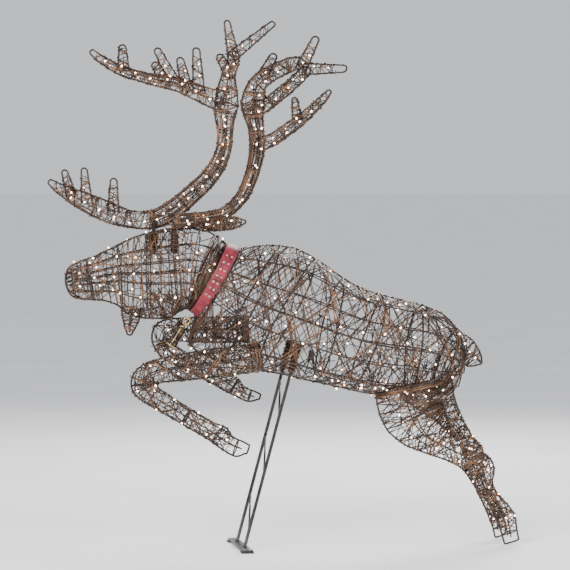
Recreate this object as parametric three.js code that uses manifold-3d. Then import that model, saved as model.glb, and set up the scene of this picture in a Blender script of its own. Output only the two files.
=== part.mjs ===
// Light-up yard reindeer: welded rod frames wrapped in wound wire, in millimetres, +Z up, nose to -X.
import * as THREE from 'three';
import Module from 'manifold-3d';

const wasm = await Module();
wasm.setup();

// Driving dimensions.
const SKIN = 2.5;            // thickness of a wound-wire skin
const ROD = 2.5;             // radius of a frame rod
const ROD_INSET = 9;         // depth of a frame rod's axis below the outer skin
const HOOP_INSET = 12.2;     // hoops are welded to the inner side of the long rods
const TIP_CLEARANCE = 14;    // how far a hairpin rod stops short of a closed tip
const GAP = 1;               // clearance between neighbouring sub-parts
const OVERSHOOT = 30;        // how far a cutting body runs past an open end
const CONTACT_GAP = 0.3;     // gap between faces that touch
const STRINGERS = 4;         // long rods in the torso's and the head's cage
const BODY_SIDES = 12;       // corners of a torso or head section
const LIMB_SIDES = 8;        // corners of a leg, ear or tail section
const ANTLER_SIDES = 6;      // corners of an antler section
const ROD_SIDES = 4;         // corners of a rod
const ROUND_SIDES = 12;      // corners of a turned part
const LOOP_SIDES = 6;        // corners of a ring's rod
const LOOP_CORNERS = 12;     // corners round a ring

const WIRE = { color: 0x4a2f20, roughness: 0.5, metalness: 0.6 };
const STEEL = { color: 0x1b1614, roughness: 0.4, metalness: 0.8 };
const LEATHER = { color: 0x8c1f33, roughness: 0.6, metalness: 0 };
const BRASS = { color: 0xc79a43, roughness: 0.25, metalness: 1 };
const NICKEL = { color: 0xc8c8c8, roughness: 0.25, metalness: 1 };
const LAMP = { color: 0xffe2b8, roughness: 0.35, metalness: 0 };
const PLASTIC = { color: 0x1c1c1c, roughness: 0.7, metalness: 0 };

// A section row is [top x, top z, bottom x, bottom z, half width, centre y].

const torsoRows = [
  [-157, 905, -272, 704, 74, 0],      // neck seam
  [-132, 899, -265, 689, 79, 0],      // rear edge of the collar
  [-100, 905, -284, 655, 90, 0],      // front of the chest
  [-50, 910, -298, 610, 102, 0],
  [-5, 907, -240, 572, 112, 0],       // withers
  [35, 900, -160, 548, 122, 0],
  [75, 880, -90, 532, 128, 0],
  [115, 855, -10, 518, 130, 0],       // widest at the ribs
  [160, 822, 60, 500, 128, 0],
  [210, 790, 150, 480, 124, 0],
  [270, 765, 245, 457, 120, 0],
  [350, 745, 335, 450, 118, 0],       // loin
  [425, 725, 425, 450, 116, 0],
  [485, 700, 490, 450, 104, 0],       // croup
  [525, 660, 525, 457, 80, 0],
  [545, 620, 542, 482, 54, 0],
  [555, 580, 552, 515, 26, 0],        // rump
];
const headRows = [
  [-157, 905, -272, 704, 74, 0],      // neck seam
  [-182, 912, -290, 716, 72, 0],      // front edge of the collar
  [-200, 937, -304, 718, 70, 0],
  [-237, 955, -325, 708, 68, 0],
  [-275, 965, -345, 690, 66, 0],      // poll and cheek
  [-325, 960, -385, 688, 62, 0],
  [-380, 955, -435, 690, 58, 0],
  [-425, 945, -480, 705, 52, 0],      // brow
  [-470, 930, -505, 730, 45, 0],
  [-520, 905, -545, 744, 38, 0],
  [-570, 880, -585, 746, 33, 0],
  [-615, 866, -620, 750, 30, 0],
  [-646, 850, -646, 756, 25, 0],
  [-665, 825, -664, 776, 14, 0],      // muzzle
];
const tuftRows = [
  [-500, 745, -425, 725, 26, 0],
  [-494, 700, -438, 684, 22, 0],
  [-487, 668, -450, 662, 15, 0],
  [-477, 641, -463, 641, 8, 0],
];
const tailRows = [
  [525, 645, 520, 540, 26, 0],
  [548, 638, 550, 538, 27, 0],
  [572, 625, 567, 534, 26, 0],
  [591, 605, 580, 530, 23, 0],
  [604, 577, 594, 527, 18, 0],
  [610, 558, 604, 533, 10, 0],
];
// The left ear, on the -Y side; mirrored() makes the right one.
const earRows = [
  [-275, 975, -275, 945, 8, -45],
  [-245, 985, -248, 948, 9, -62],
  [-205, 996, -210, 950, 13, -80],
  [-170, 997, -174, 955, 14, -96],
  [-150, 993, -151, 965, 11, -106],
  [-135, 986, -135, 976, 6, -113],
];
// Each leg has a pose of its own. The deer's left side is -Y.
const leftForelegRows = [
  [-40, 640, -30, 550, 28, -50],      // inside the shoulder
  [-110, 622, -100, 532, 36, -84],
  [-165, 615, -157, 525, 36, -90],
  [-205, 610, -197, 520, 34, -92],
  [-275, 600, -270, 514, 31, -92],
  [-345, 590, -340, 508, 29, -92],
  [-400, 577, -388, 505, 28, -92],    // end of the forearm
  [-450, 560, -394, 503, 28, -92],
  [-481, 528, -398, 499, 28, -92],    // knee
  [-481, 477, -398, 494, 28, -91],
  [-437, 445, -390, 488, 27, -90],
  [-360, 400, -325, 445, 25, -88],
  [-250, 335, -228, 385, 23, -84],
  [-220, 312, -190, 374, 24, -82],    // fetlock
  [-195, 295, -172, 342, 20, -81],
  [-163, 276, -130, 325, 20, -80],
  [-135, 288, -112, 308, 12, -80],    // toe
];
const rightForelegRows = [
  [-20, 705, -20, 620, 28, 55],       // inside the shoulder
  [-95, 698, -95, 612, 36, 84],
  [-145, 692, -145, 610, 36, 90],
  [-205, 690, -205, 610, 32, 92],
  [-265, 690, -262, 611, 29, 92],
  [-318, 688, -298, 615, 28, 92],     // end of the forearm
  [-365, 683, -306, 617, 28, 92],
  [-395, 660, -312, 613, 28, 92],     // knee
  [-395, 608, -314, 606, 28, 91],
  [-365, 567, -308, 596, 27, 90],
  [-295, 530, -272, 578, 24, 88],
  [-190, 475, -160, 522, 22, 84],
  [-155, 455, -125, 502, 23, 82],     // fetlock
  [-133, 444, -110, 476, 20, 81],
  [-100, 427, -68, 462, 20, 80],
  [-72, 436, -50, 446, 12, 80],       // toe
];
const leftHindLegRows = [
  [455, 575, 275, 575, 34, -60],      // inside the haunch
  [462, 500, 262, 500, 48, -72],
  [470, 440, 262, 440, 46, -74],
  [482, 400, 272, 396, 44, -75],
  [492, 368, 296, 348, 40, -76],
  [505, 345, 345, 308, 37, -76],      // stifle
  [530, 322, 405, 284, 33, -76],
  [565, 300, 458, 266, 30, -76],
  [598, 280, 500, 250, 28, -76],      // end of the thigh
  [624, 258, 528, 232, 26, -76],
  [633, 226, 546, 208, 25, -76],      // hock
  [622, 190, 562, 185, 23, -76],
  [640, 155, 586, 153, 22, -76],
  [670, 125, 613, 115, 22, -76],
  [697, 90, 630, 80, 24, -76],        // fetlock
  [700, 55, 645, 48, 22, -76],
  [707.5, 16, 654, 14, 24, -76],
  [690, 0, 660, 0, 18, -76],          // sole
];
const rightHindLegRows = [
  [530, 575, 350, 575, 34, 60],       // inside the haunch
  [535, 500, 335, 500, 48, 72],
  [540, 445, 365, 440, 44, 74],
  [550, 412, 420, 402, 38, 75],
  [566, 375, 482, 362, 32, 76],
  [587, 335, 528, 320, 28, 76],
  [607, 305, 556, 290, 27, 76],       // end of the thigh
  [630, 285, 568, 262, 26, 76],
  [636, 258, 575, 232, 25, 76],       // hock
  [630, 222, 586, 200, 22, 76],
  [641, 185, 603, 160, 20, 76],
  [662, 145, 623, 120, 20, 76],
  [690, 95, 643, 75, 21, 76],         // fetlock
  [702, 60, 658, 42, 20, 76],
  [706, 18, 664, 12, 22, 76],
  [692, 0, 668, 0, 17, 76],           // sole
];

// An antler branch is a list of [x, z, half width]; all of one antler's branches share its plane.
const ANTLER_THICKNESS = 14;
const ANTLER_ROOT_Z = 975;
const ANTLER_ROOT_Y = 35;
const ANTLER_ROD = 2;
const rightAntler = {
  side: 1,
  lean: 0.3,
  spigot: { x: -392, rim: 947, top: 972 },
  beam: [
    [-415, 979, 28], [-365, 993, 31], [-315, 1025, 30], [-232, 1095, 28], [-192, 1142, 26],
    [-168, 1195, 24], [-162, 1255, 25], [-163, 1290, 33], [-155, 1335, 40],
  ],
  forward: [
    [-155, 1335, 38], [-215, 1355, 30], [-295, 1389, 24], [-385, 1406, 18], [-470, 1430, 18],
    [-535, 1467, 14], [-562, 1492, 11],
  ],
  upward: [[-155, 1325, 38], [-150, 1380, 32], [-145, 1420, 21], [-130, 1455, 21], [-122, 1492, 18]],
  shovel: [
    [-418, 980, 29], [-460, 985, 28], [-512, 1000, 33], [-568, 1025, 33], [-622, 1050, 27],
    [-668, 1076, 18], [-701.5, 1100, 10],
  ],
  branchTines: [
    [[-465, 1432, 19], [-465, 1510, 13]],
    [[-340, 1402, 19], [-372, 1457, 13]],
    [[-308, 1392, 19], [-362, 1500, 13]],
    [[-275, 1382, 19], [-292, 1472, 13]],
    [[-238, 1362, 20], [-240, 1502, 13]],
    [[-127, 1478, 19], [-142, 1587, 11]],
    [[-140, 1470, 19], [5, 1582, 11]],
    [[-142, 1425, 19], [-172, 1482, 13]],
  ],
  shovelTines: [
    [[-635, 1055, 17], [-655, 1132, 11]],
    [[-590, 1035, 18], [-595, 1138, 11]],
    [[-512, 1005, 17], [-507, 1107, 12]],
  ],
};
const leftAntler = {
  side: -1,
  lean: 0.3344,
  spigot: { x: -338, rim: 950, top: 975 },
  beam: [
    [-368, 980, 28], [-305, 985, 22], [-250, 990, 20], [-200, 999, 20], [-165, 1022, 20],
    [-135, 1060, 21], [-113, 1120, 22], [-102, 1185, 24], [-105, 1230, 24], [-111, 1265, 24],
    [-120, 1300, 33], [-125, 1340, 38],
  ],
  upper: [
    [-130, 1335, 36], [-115, 1385, 29], [-80, 1413, 26], [-15, 1444, 24], [22, 1447, 18],
  ],
  lower: [[-120, 1312, 33], [-85, 1321, 21], [-20, 1375, 20], [12, 1406, 20], [38, 1432, 17]],
  back: [[-105, 1205, 24], [-60, 1220, 21], [10, 1270, 20], [45, 1300, 17], [82, 1337, 14], [106, 1367, 9]],
  branchTines: [
    [[12, 1424, 19], [56, 1522, 13]],
    [[10, 1429, 20], [151, 1431, 13]],
    [[-103, 1398, 19], [-66, 1472, 13]],
  ],
  beamTines: [[[14, 1272, 17], [0, 1346, 10]]],
};

const SPIGOT_RADIUS = 6;
const SPIGOT_DEPTH = 62;
const SPIGOT_ASIDE = 6;       // how far the spigot stands inwards of the antler's root
const FLANGE = 3;             // width and height of the spigot's flange
const SOCKET_HOLE_DEPTH = 50;
const SOCKET_WALL = 3;
const RUNNING_CLEARANCE = 0.06;

const stand = {
  halfGauge: 70,                 // each leg's distance from the middle plane
  tilt: THREE.MathUtils.degToRad(15),
  passHeight: 511,               // height at which the legs cross x = 0
  rodRadius: 5,
  braceRadius: 3,
  legTop: 612,
  sleeveBottom: 528,
  sleeveTop: 618,
  sleeveWall: 3,
  sleeveHoleReach: 40,           // how far the hole in the belly runs past the sleeve
  shoulder: 4,                   // height of the shoulder on each leg
  shoulderWidth: 3,
  shoulderGap: 3,                // from the shoulder up to the sleeve
  footInset: 2,                  // height in the bar at which a leg starts
  footWidth: 300,
  footDepth: 30,
  barHeight: 6,
  padHeight: 4,
  padLength: 40,
  padOverhang: 6,
  braceRise: 110,
  braceFoots: [55, 225, 395],    // heights where the braces meet the left leg
};

const collar = {
  gap: 2,
  thickness: 4,
  rearTrim: 5,                   // the rear edge stops this far short of the chest's second row
  eyeletRadius: 3.2,
  eyeletHeight: 1.4,
  eyeletAcross: 0.4,
  eyeletFaces: [1.3, 1.8, 2.3, 2.8],
};
const buckleFrame = { face: 2.5, height: 6, halfLength: 11, halfWidth: 25, rod: 2.4 };
const buckleProng = { height: 10.2, tip: 13, root: -9, aside: 8, rod: 1.3 };
const strapKeeper = { face: 7.5, clearance: 0.5, thickness: 2.2, halfLength: 4.5, halfWidth: 40, reach: 10 };

const inlet = { x: 80, bottom: 560, top: 590, radius: 9 };
const bodyString = { spacing: 3, leadRadius: 1.5, lampRadius: 4 };
const antlerString = { spacing: 2, leadRadius: 1.2, lampRadius: 3 };
const STRING_INSET = 18;       // depth of the body's strings below the outer skin
const STRING_ASIDE = 6;        // how far an antler's string lies off the middle of its branch
const LAMP_REACH = 6;          // half of a lamp's length

const bell = {
  ring: new THREE.Vector3(-298, 0, 682),     // centre of the hanging ring
  ringRadius: 9.5,
  ringRod: 2.5,
  eyeRadius: 6,
  eyeRod: 1.6,
  eyeStem: 5,
  eyeStemRadius: 2,
  loopRadius: 7,
  loopRod: 1.8,
  loopStemRadius: 3,
  axis: new THREE.Vector3(-0.527, 0, -0.85).normalize(),
  hang: new THREE.Vector3(0.5, 0, 0.866),    // from the ring to the collar
  profile: [[3, 20], [9, 22], [12, 29], [13.5, 40], [13.5, 66], [16, 80], [19, 88]],
  wall: 1.5,
  clapperTop: 28,
  clapperBall: 76,
  clapperRadius: 6,
  clapperStem: 1.2,
};

const SQUARE = [[-1, -1], [1, -1], [1, 1], [-1, 1]];
const ACROSS = new THREE.Vector3(0, 1, 0);
const UP = new THREE.Vector3(0, 0, 1);
const SHARPEST_MITRE = 0.7;
const NEARLY_PARALLEL = 0.9;

// Closed solids from rings of points.
function solidFromRings(rings, looped = false) {
  const sides = rings[0].length;
  const points = rings.flat();
  const triangles = [];
  const bands = looped ? rings.length : rings.length - 1;
  for (let band = 0; band < bands; band += 1) {
    for (let corner = 0; corner < sides; corner += 1) {
      const a = band * sides + corner;
      const b = band * sides + ((corner + 1) % sides);
      const c = ((band + 1) % rings.length) * sides + corner;
      const d = ((band + 1) % rings.length) * sides + ((corner + 1) % sides);
      triangles.push([a, b, d], [a, d, c]);
    }
  }
  if (!looped) {
    const last = (rings.length - 1) * sides;
    for (let corner = 1; corner < sides - 1; corner += 1) {
      triangles.push([0, corner + 1, corner], [last, last + corner, last + corner + 1]);
    }
  }
  const outwards = signedVolume(points, triangles) > 0;
  const facing = outwards ? triangles : triangles.map(([a, b, c]) => [a, c, b]);
  return new wasm.Manifold(new wasm.Mesh({
    numProp: 3,
    vertProperties: new Float32Array(points.flatMap((p) => [p.x, p.y, p.z])),
    triVerts: new Uint32Array(facing.flat()),
  }));
}

function signedVolume(points, triangles) {
  const cross = new THREE.Vector3();
  const volumes = triangles.map(([a, b, c]) => points[a].dot(cross.crossVectors(points[b], points[c])));
  return volumes.reduce((sum, volume) => sum + volume, 0);
}

function join(solids) {
  return solids.reduce((whole, solid) => whole.add(solid));
}

function largestPiece(solid) {
  return solid.decompose().reduce((best, piece) => (piece.volume() > best.volume() ? piece : best));
}

// Sections: an ellipse through a row's top and bottom points.
function sectionPoint(row, angle, inset) {
  const [topX, topZ, bottomX, bottomZ, half, y] = row;
  const reach = Math.hypot(topX - bottomX, topZ - bottomZ) / 2;
  const lift = ((reach - inset) / reach) * Math.cos(angle) * 0.5;
  return new THREE.Vector3(
    (topX + bottomX) / 2 + (topX - bottomX) * lift,
    y + (half - inset) * Math.sin(angle),
    (topZ + bottomZ) / 2 + (topZ - bottomZ) * lift,
  );
}

function sectionRing(row, inset, sides) {
  return Array.from({ length: sides }, (_, i) => sectionPoint(row, (i / sides) * 2 * Math.PI, inset));
}

function loft(rows, inset, sides, place = (point) => point) {
  return solidFromRings(rows.map((row) => sectionRing(row, inset, sides).map(place)));
}

// Moves an end row away from its neighbour, or towards it when distance is negative.
function slideRow(row, neighbour, distance) {
  const step = sectionPoint(row, Math.PI / 2, 0).distanceTo(sectionPoint(neighbour, Math.PI / 2, 0));
  return row.map((value, i) => value + ((value - neighbour[i]) * distance) / step);
}

function trimRows(rows, start, end) {
  const last = rows.length - 1;
  return [
    slideRow(rows[0], rows[1], start),
    ...rows.slice(1, last),
    slideRow(rows[last], rows[last - 1], end),
  ];
}

function basketInside(rows, sides, openStart, openEnd, place) {
  const trimmed = trimRows(rows, openStart ? OVERSHOOT : -SKIN, openEnd ? OVERSHOOT : -SKIN);
  return loft(trimmed, SKIN, sides, place);
}

function basket(rows, sides, openStart, openEnd) {
  return loft(rows, 0, sides).subtract(basketInside(rows, sides, openStart, openEnd));
}

// A rod is an open or looped tube along points. A bent rod that lies in one plane names that plane's normal
// as its flat direction; radii replaces the radius with one for each point.
function rod(points, radius, { looped = false, sides = ROD_SIDES, flat = null, radii = null } = {}) {
  const count = points.length;
  const rings = [];
  let across = null;
  points.forEach((point, i) => {
    const before = points[looped ? (i + count - 1) % count : Math.max(i - 1, 0)];
    const after = points[looped ? (i + 1) % count : Math.min(i + 1, count - 1)];
    const tangent = after.clone().sub(before).normalize();
    const guide = flat ?? across ?? (Math.abs(tangent.y) < NEARLY_PARALLEL ? ACROSS : UP);
    across = guide.clone().addScaledVector(tangent, -guide.dot(tangent)).normalize();
    const normal = new THREE.Vector3().crossVectors(across, tangent);
    const size = radii ? radii[i] : radius;
    const incoming = before === point ? tangent : point.clone().sub(before).normalize();
    const mitre = flat ? 1 / Math.max(tangent.dot(incoming), SHARPEST_MITRE) : 1;
    rings.push(Array.from({ length: sides }, (_, corner) => {
      const turn = ((corner + 0.5) / sides) * 2 * Math.PI;
      return point.clone()
        .addScaledVector(normal, size * mitre * Math.cos(turn))
        .addScaledVector(across, size * Math.sin(turn));
    }));
  });
  return solidFromRings(rings, looped);
}

function planeNormal(ring) {
  const [first, second, third] = [0, 1 / 3, 2 / 3].map((share) => ring[Math.floor(ring.length * share)]);
  return second.clone().sub(first).cross(third.clone().sub(first)).normalize();
}

function hoop(row, sides) {
  const ring = sectionRing(row, HOOP_INSET, sides);
  return rod(ring, ROD, { looped: true, flat: planeNormal(ring) });
}

function stringer(rows, angle) {
  return rod(rows.map((row) => sectionPoint(row, angle, ROD_INSET)), ROD);
}

// A cage has rods along the length at equal angles and hoops at the chosen rows.
function cage(rows, sides, hoopRows) {
  const caged = rows.slice(0, -1);
  const long = Array.from({ length: STRINGERS }, (_, i) => stringer(caged, (i / STRINGERS) * 2 * Math.PI));
  return join([...long, ...hoopRows.map((index) => hoop(caged[index], sides))]);
}

// A hairpin is one rod that runs out along the top edge and back along the bottom edge.
function hairpinPath(rows) {
  const trimmed = trimRows(rows, 0, -TIP_CLEARANCE);
  const out = trimmed.map((row) => sectionPoint(row, 0, ROD_INSET));
  const back = trimmed.map((row) => sectionPoint(row, Math.PI, ROD_INSET));
  return [...out, ...back.reverse()];
}

function hairpin(rows) {
  return rod(hairpinPath(rows), ROD, { flat: ACROSS });
}

// A leg's frame is one hairpin stiffened by hoops.
function legFrame(rows, hoopRows) {
  return join([hairpin(rows), ...hoopRows.map((index) => hoop(rows[index], LIMB_SIDES))]);
}

// Antlers.
function stripRows(points) {
  return points.map(([x, z, half], i) => {
    const [beforeX, beforeZ] = points[Math.max(i - 1, 0)];
    const [afterX, afterZ] = points[Math.min(i + 1, points.length - 1)];
    const length = Math.hypot(afterX - beforeX, afterZ - beforeZ);
    const normalX = -(afterZ - beforeZ) / length;
    const normalZ = (afterX - beforeX) / length;
    const top = [x + normalX * half, z + normalZ * half];
    const bottom = [x - normalX * half, z - normalZ * half];
    return [...top, ...bottom, ANTLER_THICKNESS, 0];
  });
}

function antlerPlane({ side, lean }) {
  return (point) => new THREE.Vector3(
    point.x,
    point.y + side * (ANTLER_ROOT_Y + lean * (point.z - ANTLER_ROOT_Z)),
    point.z,
  );
}

function antlerNormal({ side, lean }) {
  return at(0, 1, -side * lean).normalize();
}

function antlerShape(branches, place, inset, trim) {
  const strips = branches.map((branch) => trimRows(stripRows(branch), 0, trim));
  return join(strips.map((strip) => loft(strip, inset, ANTLER_SIDES, place)));
}

function cylinder(radius, from, to, sides = ROUND_SIDES) {
  return rod([from, to], radius, { sides });
}

function at(x, y, z) {
  return new THREE.Vector3(x, y, z);
}

function spigotPlace(antler) {
  return { x: antler.spigot.x, y: antler.side * (ANTLER_ROOT_Y - SPIGOT_ASIDE) };
}

function antlerOutlines(antler, branches, radius) {
  const place = antlerPlane(antler);
  const shape = { looped: true, flat: antlerNormal(antler) };
  return branches.map((branch) => rod(hairpinPath(stripRows(branch)).map(place), radius, shape));
}

function antlerFrame(antler, branches) {
  const outlines = antlerOutlines(antler, branches, ANTLER_ROD);
  const { x, y } = spigotPlace(antler);
  const { rim, top } = antler.spigot;
  const spigot = cylinder(SPIGOT_RADIUS, at(x, y, rim - SPIGOT_DEPTH), at(x, y, top));
  const seat = rim + CONTACT_GAP;
  const flange = cylinder(SPIGOT_RADIUS + FLANGE, at(x, y, seat), at(x, y, seat + FLANGE));
  return largestPiece(join([...outlines, spigot, flange]));
}

function socket(antler) {
  const { x, y } = spigotPlace(antler);
  const { rim } = antler.spigot;
  const bore = SPIGOT_RADIUS + RUNNING_CLEARANCE;
  const bottom = rim - SPIGOT_DEPTH - SOCKET_WALL;
  const outer = cylinder(bore + SOCKET_WALL, at(x, y, bottom), at(x, y, rim));
  return outer.subtract(cylinder(bore, at(x, y, bottom - 1), at(x, y, rim + 1)));
}

// Stand.
function standPoint(side, z) {
  return at((z - stand.passHeight) * Math.tan(stand.tilt), side * stand.halfGauge, z);
}

function standSegment(side, radius, bottom, top) {
  return cylinder(radius, standPoint(side, bottom), standPoint(side, top));
}

function box(x, y, z, sizeX, sizeY, sizeZ) {
  const ring = (height) => SQUARE.map(([i, j]) => at(x + (i * sizeX) / 2, y + (j * sizeY) / 2, height));
  return solidFromRings([ring(z), ring(z + sizeZ)]);
}

function standFrame() {
  const footZ = stand.padHeight + CONTACT_GAP;
  const foot = standPoint(0, footZ);
  const parts = [box(foot.x, 0, footZ, stand.footDepth, stand.footWidth, stand.barHeight)];
  const shoulderTop = stand.sleeveBottom - stand.shoulderGap;
  const shoulderRadius = stand.rodRadius + stand.shoulderWidth;
  for (const side of [-1, 1]) {
    parts.push(standSegment(side, stand.rodRadius, footZ + stand.footInset, stand.legTop));
    parts.push(standSegment(side, shoulderRadius, shoulderTop - stand.shoulder, shoulderTop));
  }
  for (const height of stand.braceFoots) {
    const end = standPoint(1, height + stand.braceRise);
    parts.push(cylinder(stand.braceRadius, standPoint(-1, height), end, LOOP_SIDES));
  }
  return join(parts);
}

function standSleeve(side) {
  const bore = stand.rodRadius + RUNNING_CLEARANCE;
  const outer = standSegment(side, bore + stand.sleeveWall, stand.sleeveBottom, stand.sleeveTop);
  const drill = standSegment(side, bore, stand.sleeveBottom - OVERSHOOT, stand.sleeveTop + OVERSHOOT);
  return outer.subtract(drill);
}

function footPad(side) {
  const y = side * (stand.footWidth - stand.padLength) / 2;
  return box(standPoint(0, 0).x, y, 0, stand.footDepth + stand.padOverhang, stand.padLength, stand.padHeight);
}

// Collar and its hardware.
const strapRows = [headRows[1], headRows[0], slideRow(torsoRows[1], torsoRows[0], -collar.rearTrim)];

function strap() {
  const outer = loft(strapRows, -(collar.gap + collar.thickness), BODY_SIDES);
  const inner = loft(trimRows(strapRows, OVERSHOOT, OVERSHOOT), -collar.gap, BODY_SIDES);
  return outer.subtract(inner);
}

function sectionCentre(row) {
  return sectionPoint(row, 0, 0).lerp(sectionPoint(row, Math.PI, 0), 0.5);
}

// A spot on the strap's outer face: face is its sector counted from the top, across runs from -1 to 1.
function strapSpot(face, across, height) {
  const rows = across < 0 ? [strapRows[1], strapRows[0]] : [strapRows[1], strapRows[2]];
  const ring = (row) => sectionRing(row, -(collar.gap + collar.thickness), BODY_SIDES);
  const corner = ((Math.floor(face) % BODY_SIDES) + BODY_SIDES) % BODY_SIDES;
  const next = (corner + 1) % BODY_SIDES;
  const along = face - Math.floor(face);
  const [middle, edge] = rows.map(ring);
  const near = middle[corner].clone().lerp(middle[next], along);
  const far = edge[corner].clone().lerp(edge[next], along);
  const point = near.clone().lerp(far, Math.abs(across));
  const sideways = far.clone().sub(near).multiplyScalar(across < 0 ? -1 : 1).normalize();
  const forward = middle[next].clone().sub(middle[corner]).normalize();
  const outward = new THREE.Vector3().crossVectors(forward, sideways).normalize();
  if (outward.dot(point.clone().sub(sectionCentre(strapRows[1]))) < 0) outward.negate();
  return { point: point.addScaledVector(outward, height), sideways, forward, outward };
}

function offset(spot, forward, sideways, outward) {
  return spot.point.clone()
    .addScaledVector(spot.forward, forward)
    .addScaledVector(spot.sideways, sideways)
    .addScaledVector(spot.outward, outward);
}

function eyelet(face, across) {
  const spot = strapSpot(face, across, CONTACT_GAP);
  return cylinder(collar.eyeletRadius, spot.point, offset(spot, 0, 0, collar.eyeletHeight), LIMB_SIDES);
}

function buckle() {
  const { face, height, halfLength, halfWidth, rod: radius } = buckleFrame;
  const spot = strapSpot(face, 0, height);
  const corners = SQUARE.map(([i, j]) => offset(spot, i * halfLength, j * halfWidth, 0));
  return rod(corners, radius, { looped: true, sides: LIMB_SIDES, flat: spot.outward });
}

function prongs() {
  const { height, tip, root, aside, rod: radius } = buckleProng;
  const spot = strapSpot(buckleFrame.face, 0, height);
  const path = [[tip, -aside], [root, -aside], [root, aside], [tip, aside]];
  const points = path.map(([forward, sideways]) => offset(spot, forward, sideways, 0));
  return rod(points, radius, { sides: LIMB_SIDES, flat: spot.outward });
}

// The keeper is a short length of a thicker strap around the strap.
function keeper() {
  const { face, clearance, thickness, halfLength, halfWidth, reach } = strapKeeper;
  const spot = strapSpot(face, 0, 0);
  const inner = -(collar.gap + collar.thickness + clearance);
  const band = loft(strapRows, inner - thickness, BODY_SIDES)
    .subtract(loft(trimRows(strapRows, OVERSHOOT, OVERSHOOT), inner, BODY_SIDES));
  const ring = (sideways) => SQUARE.map(([i, j]) => offset(spot, i * halfLength, sideways, j * reach));
  return band.intersect(solidFromRings([ring(-halfWidth), ring(halfWidth)]));
}

// A torus with the given centre whose plane holds the two directions.
function ringLoop(centre, radius, rodRadius, first, second) {
  const points = Array.from({ length: LOOP_CORNERS }, (_, i) => {
    const turn = (i / LOOP_CORNERS) * 2 * Math.PI;
    return centre.clone()
      .addScaledVector(first, radius * Math.cos(turn))
      .addScaledVector(second, radius * Math.sin(turn));
  });
  return rod(points, rodRadius, { looped: true, sides: LOOP_SIDES, flat: first.clone().cross(second) });
}

function hangingRing() {
  return ringLoop(bell.ring, bell.ringRadius, bell.ringRod, at(1, 0, 0), at(0, 0, 1));
}

function collarEye() {
  const centre = bell.ring.clone().addScaledVector(bell.hang, bell.ringRadius);
  const stemFrom = centre.clone().addScaledVector(bell.hang, bell.eyeRadius);
  const stemTo = centre.clone().addScaledVector(bell.hang, bell.eyeRadius + bell.eyeStem);
  return join([
    ringLoop(centre, bell.eyeRadius, bell.eyeRod, bell.hang, ACROSS),
    cylinder(bell.eyeStemRadius, stemFrom, stemTo, LIMB_SIDES),
  ]);
}

function bellPoint(distance) {
  return bell.ring.clone().addScaledVector(bell.axis, distance);
}

function bellLoop() {
  const stemFrom = bellPoint(bell.ringRadius + bell.loopRadius);
  const stemTo = bellPoint(bell.profile[0][1] - CONTACT_GAP);
  return join([
    ringLoop(bellPoint(bell.ringRadius), bell.loopRadius, bell.loopRod, bell.axis, ACROSS),
    cylinder(bell.loopStemRadius, stemFrom, stemTo, LIMB_SIDES),
  ]);
}

function turned(profile) {
  return rod(profile.map(([, distance]) => bellPoint(distance)), 0, {
    sides: ROUND_SIDES, radii: profile.map(([radius]) => radius),
  });
}

function bellShell() {
  const hollow = bell.profile.slice(1).map(([radius, distance], i, list) => [
    radius - bell.wall,
    i === 0 ? distance + bell.wall : distance + (i === list.length - 1 ? 1 : 0),
  ]);
  return turned(bell.profile).subtract(turned(hollow));
}

function clapper() {
  const { clapperRadius: radius, clapperBall: middle, clapperStem: stem, clapperTop: top } = bell;
  const steps = [-0.9, -0.45, 0, 0.45, 0.9];
  const ball = steps.map((step) => [radius * Math.sqrt(1 - step * step), middle + radius * step]);
  return turned([[stem, top], [stem, middle - radius], ...ball]);
}

// Light strings: a lead with a small lamp at every spacing-th corner.
function lightString(points, { spacing, leadRadius, lampRadius }) {
  const path = [];
  const radii = [];
  points.forEach((point, i) => {
    const lamp = i % spacing === 1 && i < points.length - 1;
    if (!lamp) {
      path.push(point);
      radii.push(leadRadius);
      return;
    }
    const [before, after] = [points[i - 1], points[i + 1]];
    path.push(
      point.clone().lerp(before, LAMP_REACH / point.distanceTo(before)),
      point,
      point.clone().lerp(after, LAMP_REACH / point.distanceTo(after)),
    );
    radii.push(leadRadius, lampRadius, leadRadius);
  });
  return rod(path, 0, { radii });
}

function hoopRoute(rows, indexes) {
  return indexes.flatMap((index, turn) => {
    const ring = sectionRing(rows[index], STRING_INSET, BODY_SIDES);
    const fromBelow = [...ring.slice(BODY_SIDES / 2 + 1), ...ring.slice(0, BODY_SIDES / 2)];
    return turn % 2 ? fromBelow.reverse() : fromBelow;
  });
}

function antlerRoute(antler, branches) {
  const place = antlerPlane(antler);
  const [first, second] = branches;
  return [...first.slice(1), ...second.slice(1, -1)].map(([x, z]) => place(at(x, STRING_ASIDE, z)));
}

// Scene graph.
const deer = new THREE.Group();
deer.name = 'yard_reindeer';

function geometryOf(solid) {
  const mesh = solid.getMesh();
  const geometry = new THREE.BufferGeometry();
  geometry.setAttribute('position', new THREE.BufferAttribute(new Float32Array(mesh.vertProperties), 3));
  geometry.setIndex(new THREE.BufferAttribute(new Uint32Array(mesh.triVerts), 1));
  return geometry;
}

function group(name) {
  const child = new THREE.Group();
  child.name = name;
  deer.add(child);
  return child;
}

function addPart(parent, name, solid, look) {
  const geometry = geometryOf(solid);
  geometry.computeVertexNormals();
  const mesh = new THREE.Mesh(geometry, new THREE.MeshStandardMaterial(look));
  mesh.name = name;
  parent.add(mesh);
}

const torsoBody = loft(torsoRows, -GAP, BODY_SIDES);
const headBody = loft(headRows, -GAP, BODY_SIDES);

function drillSkin(skin, cutters) {
  return largestPiece(cutters.reduce((whole, cutter) => whole.subtract(cutter), skin));
}

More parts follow.
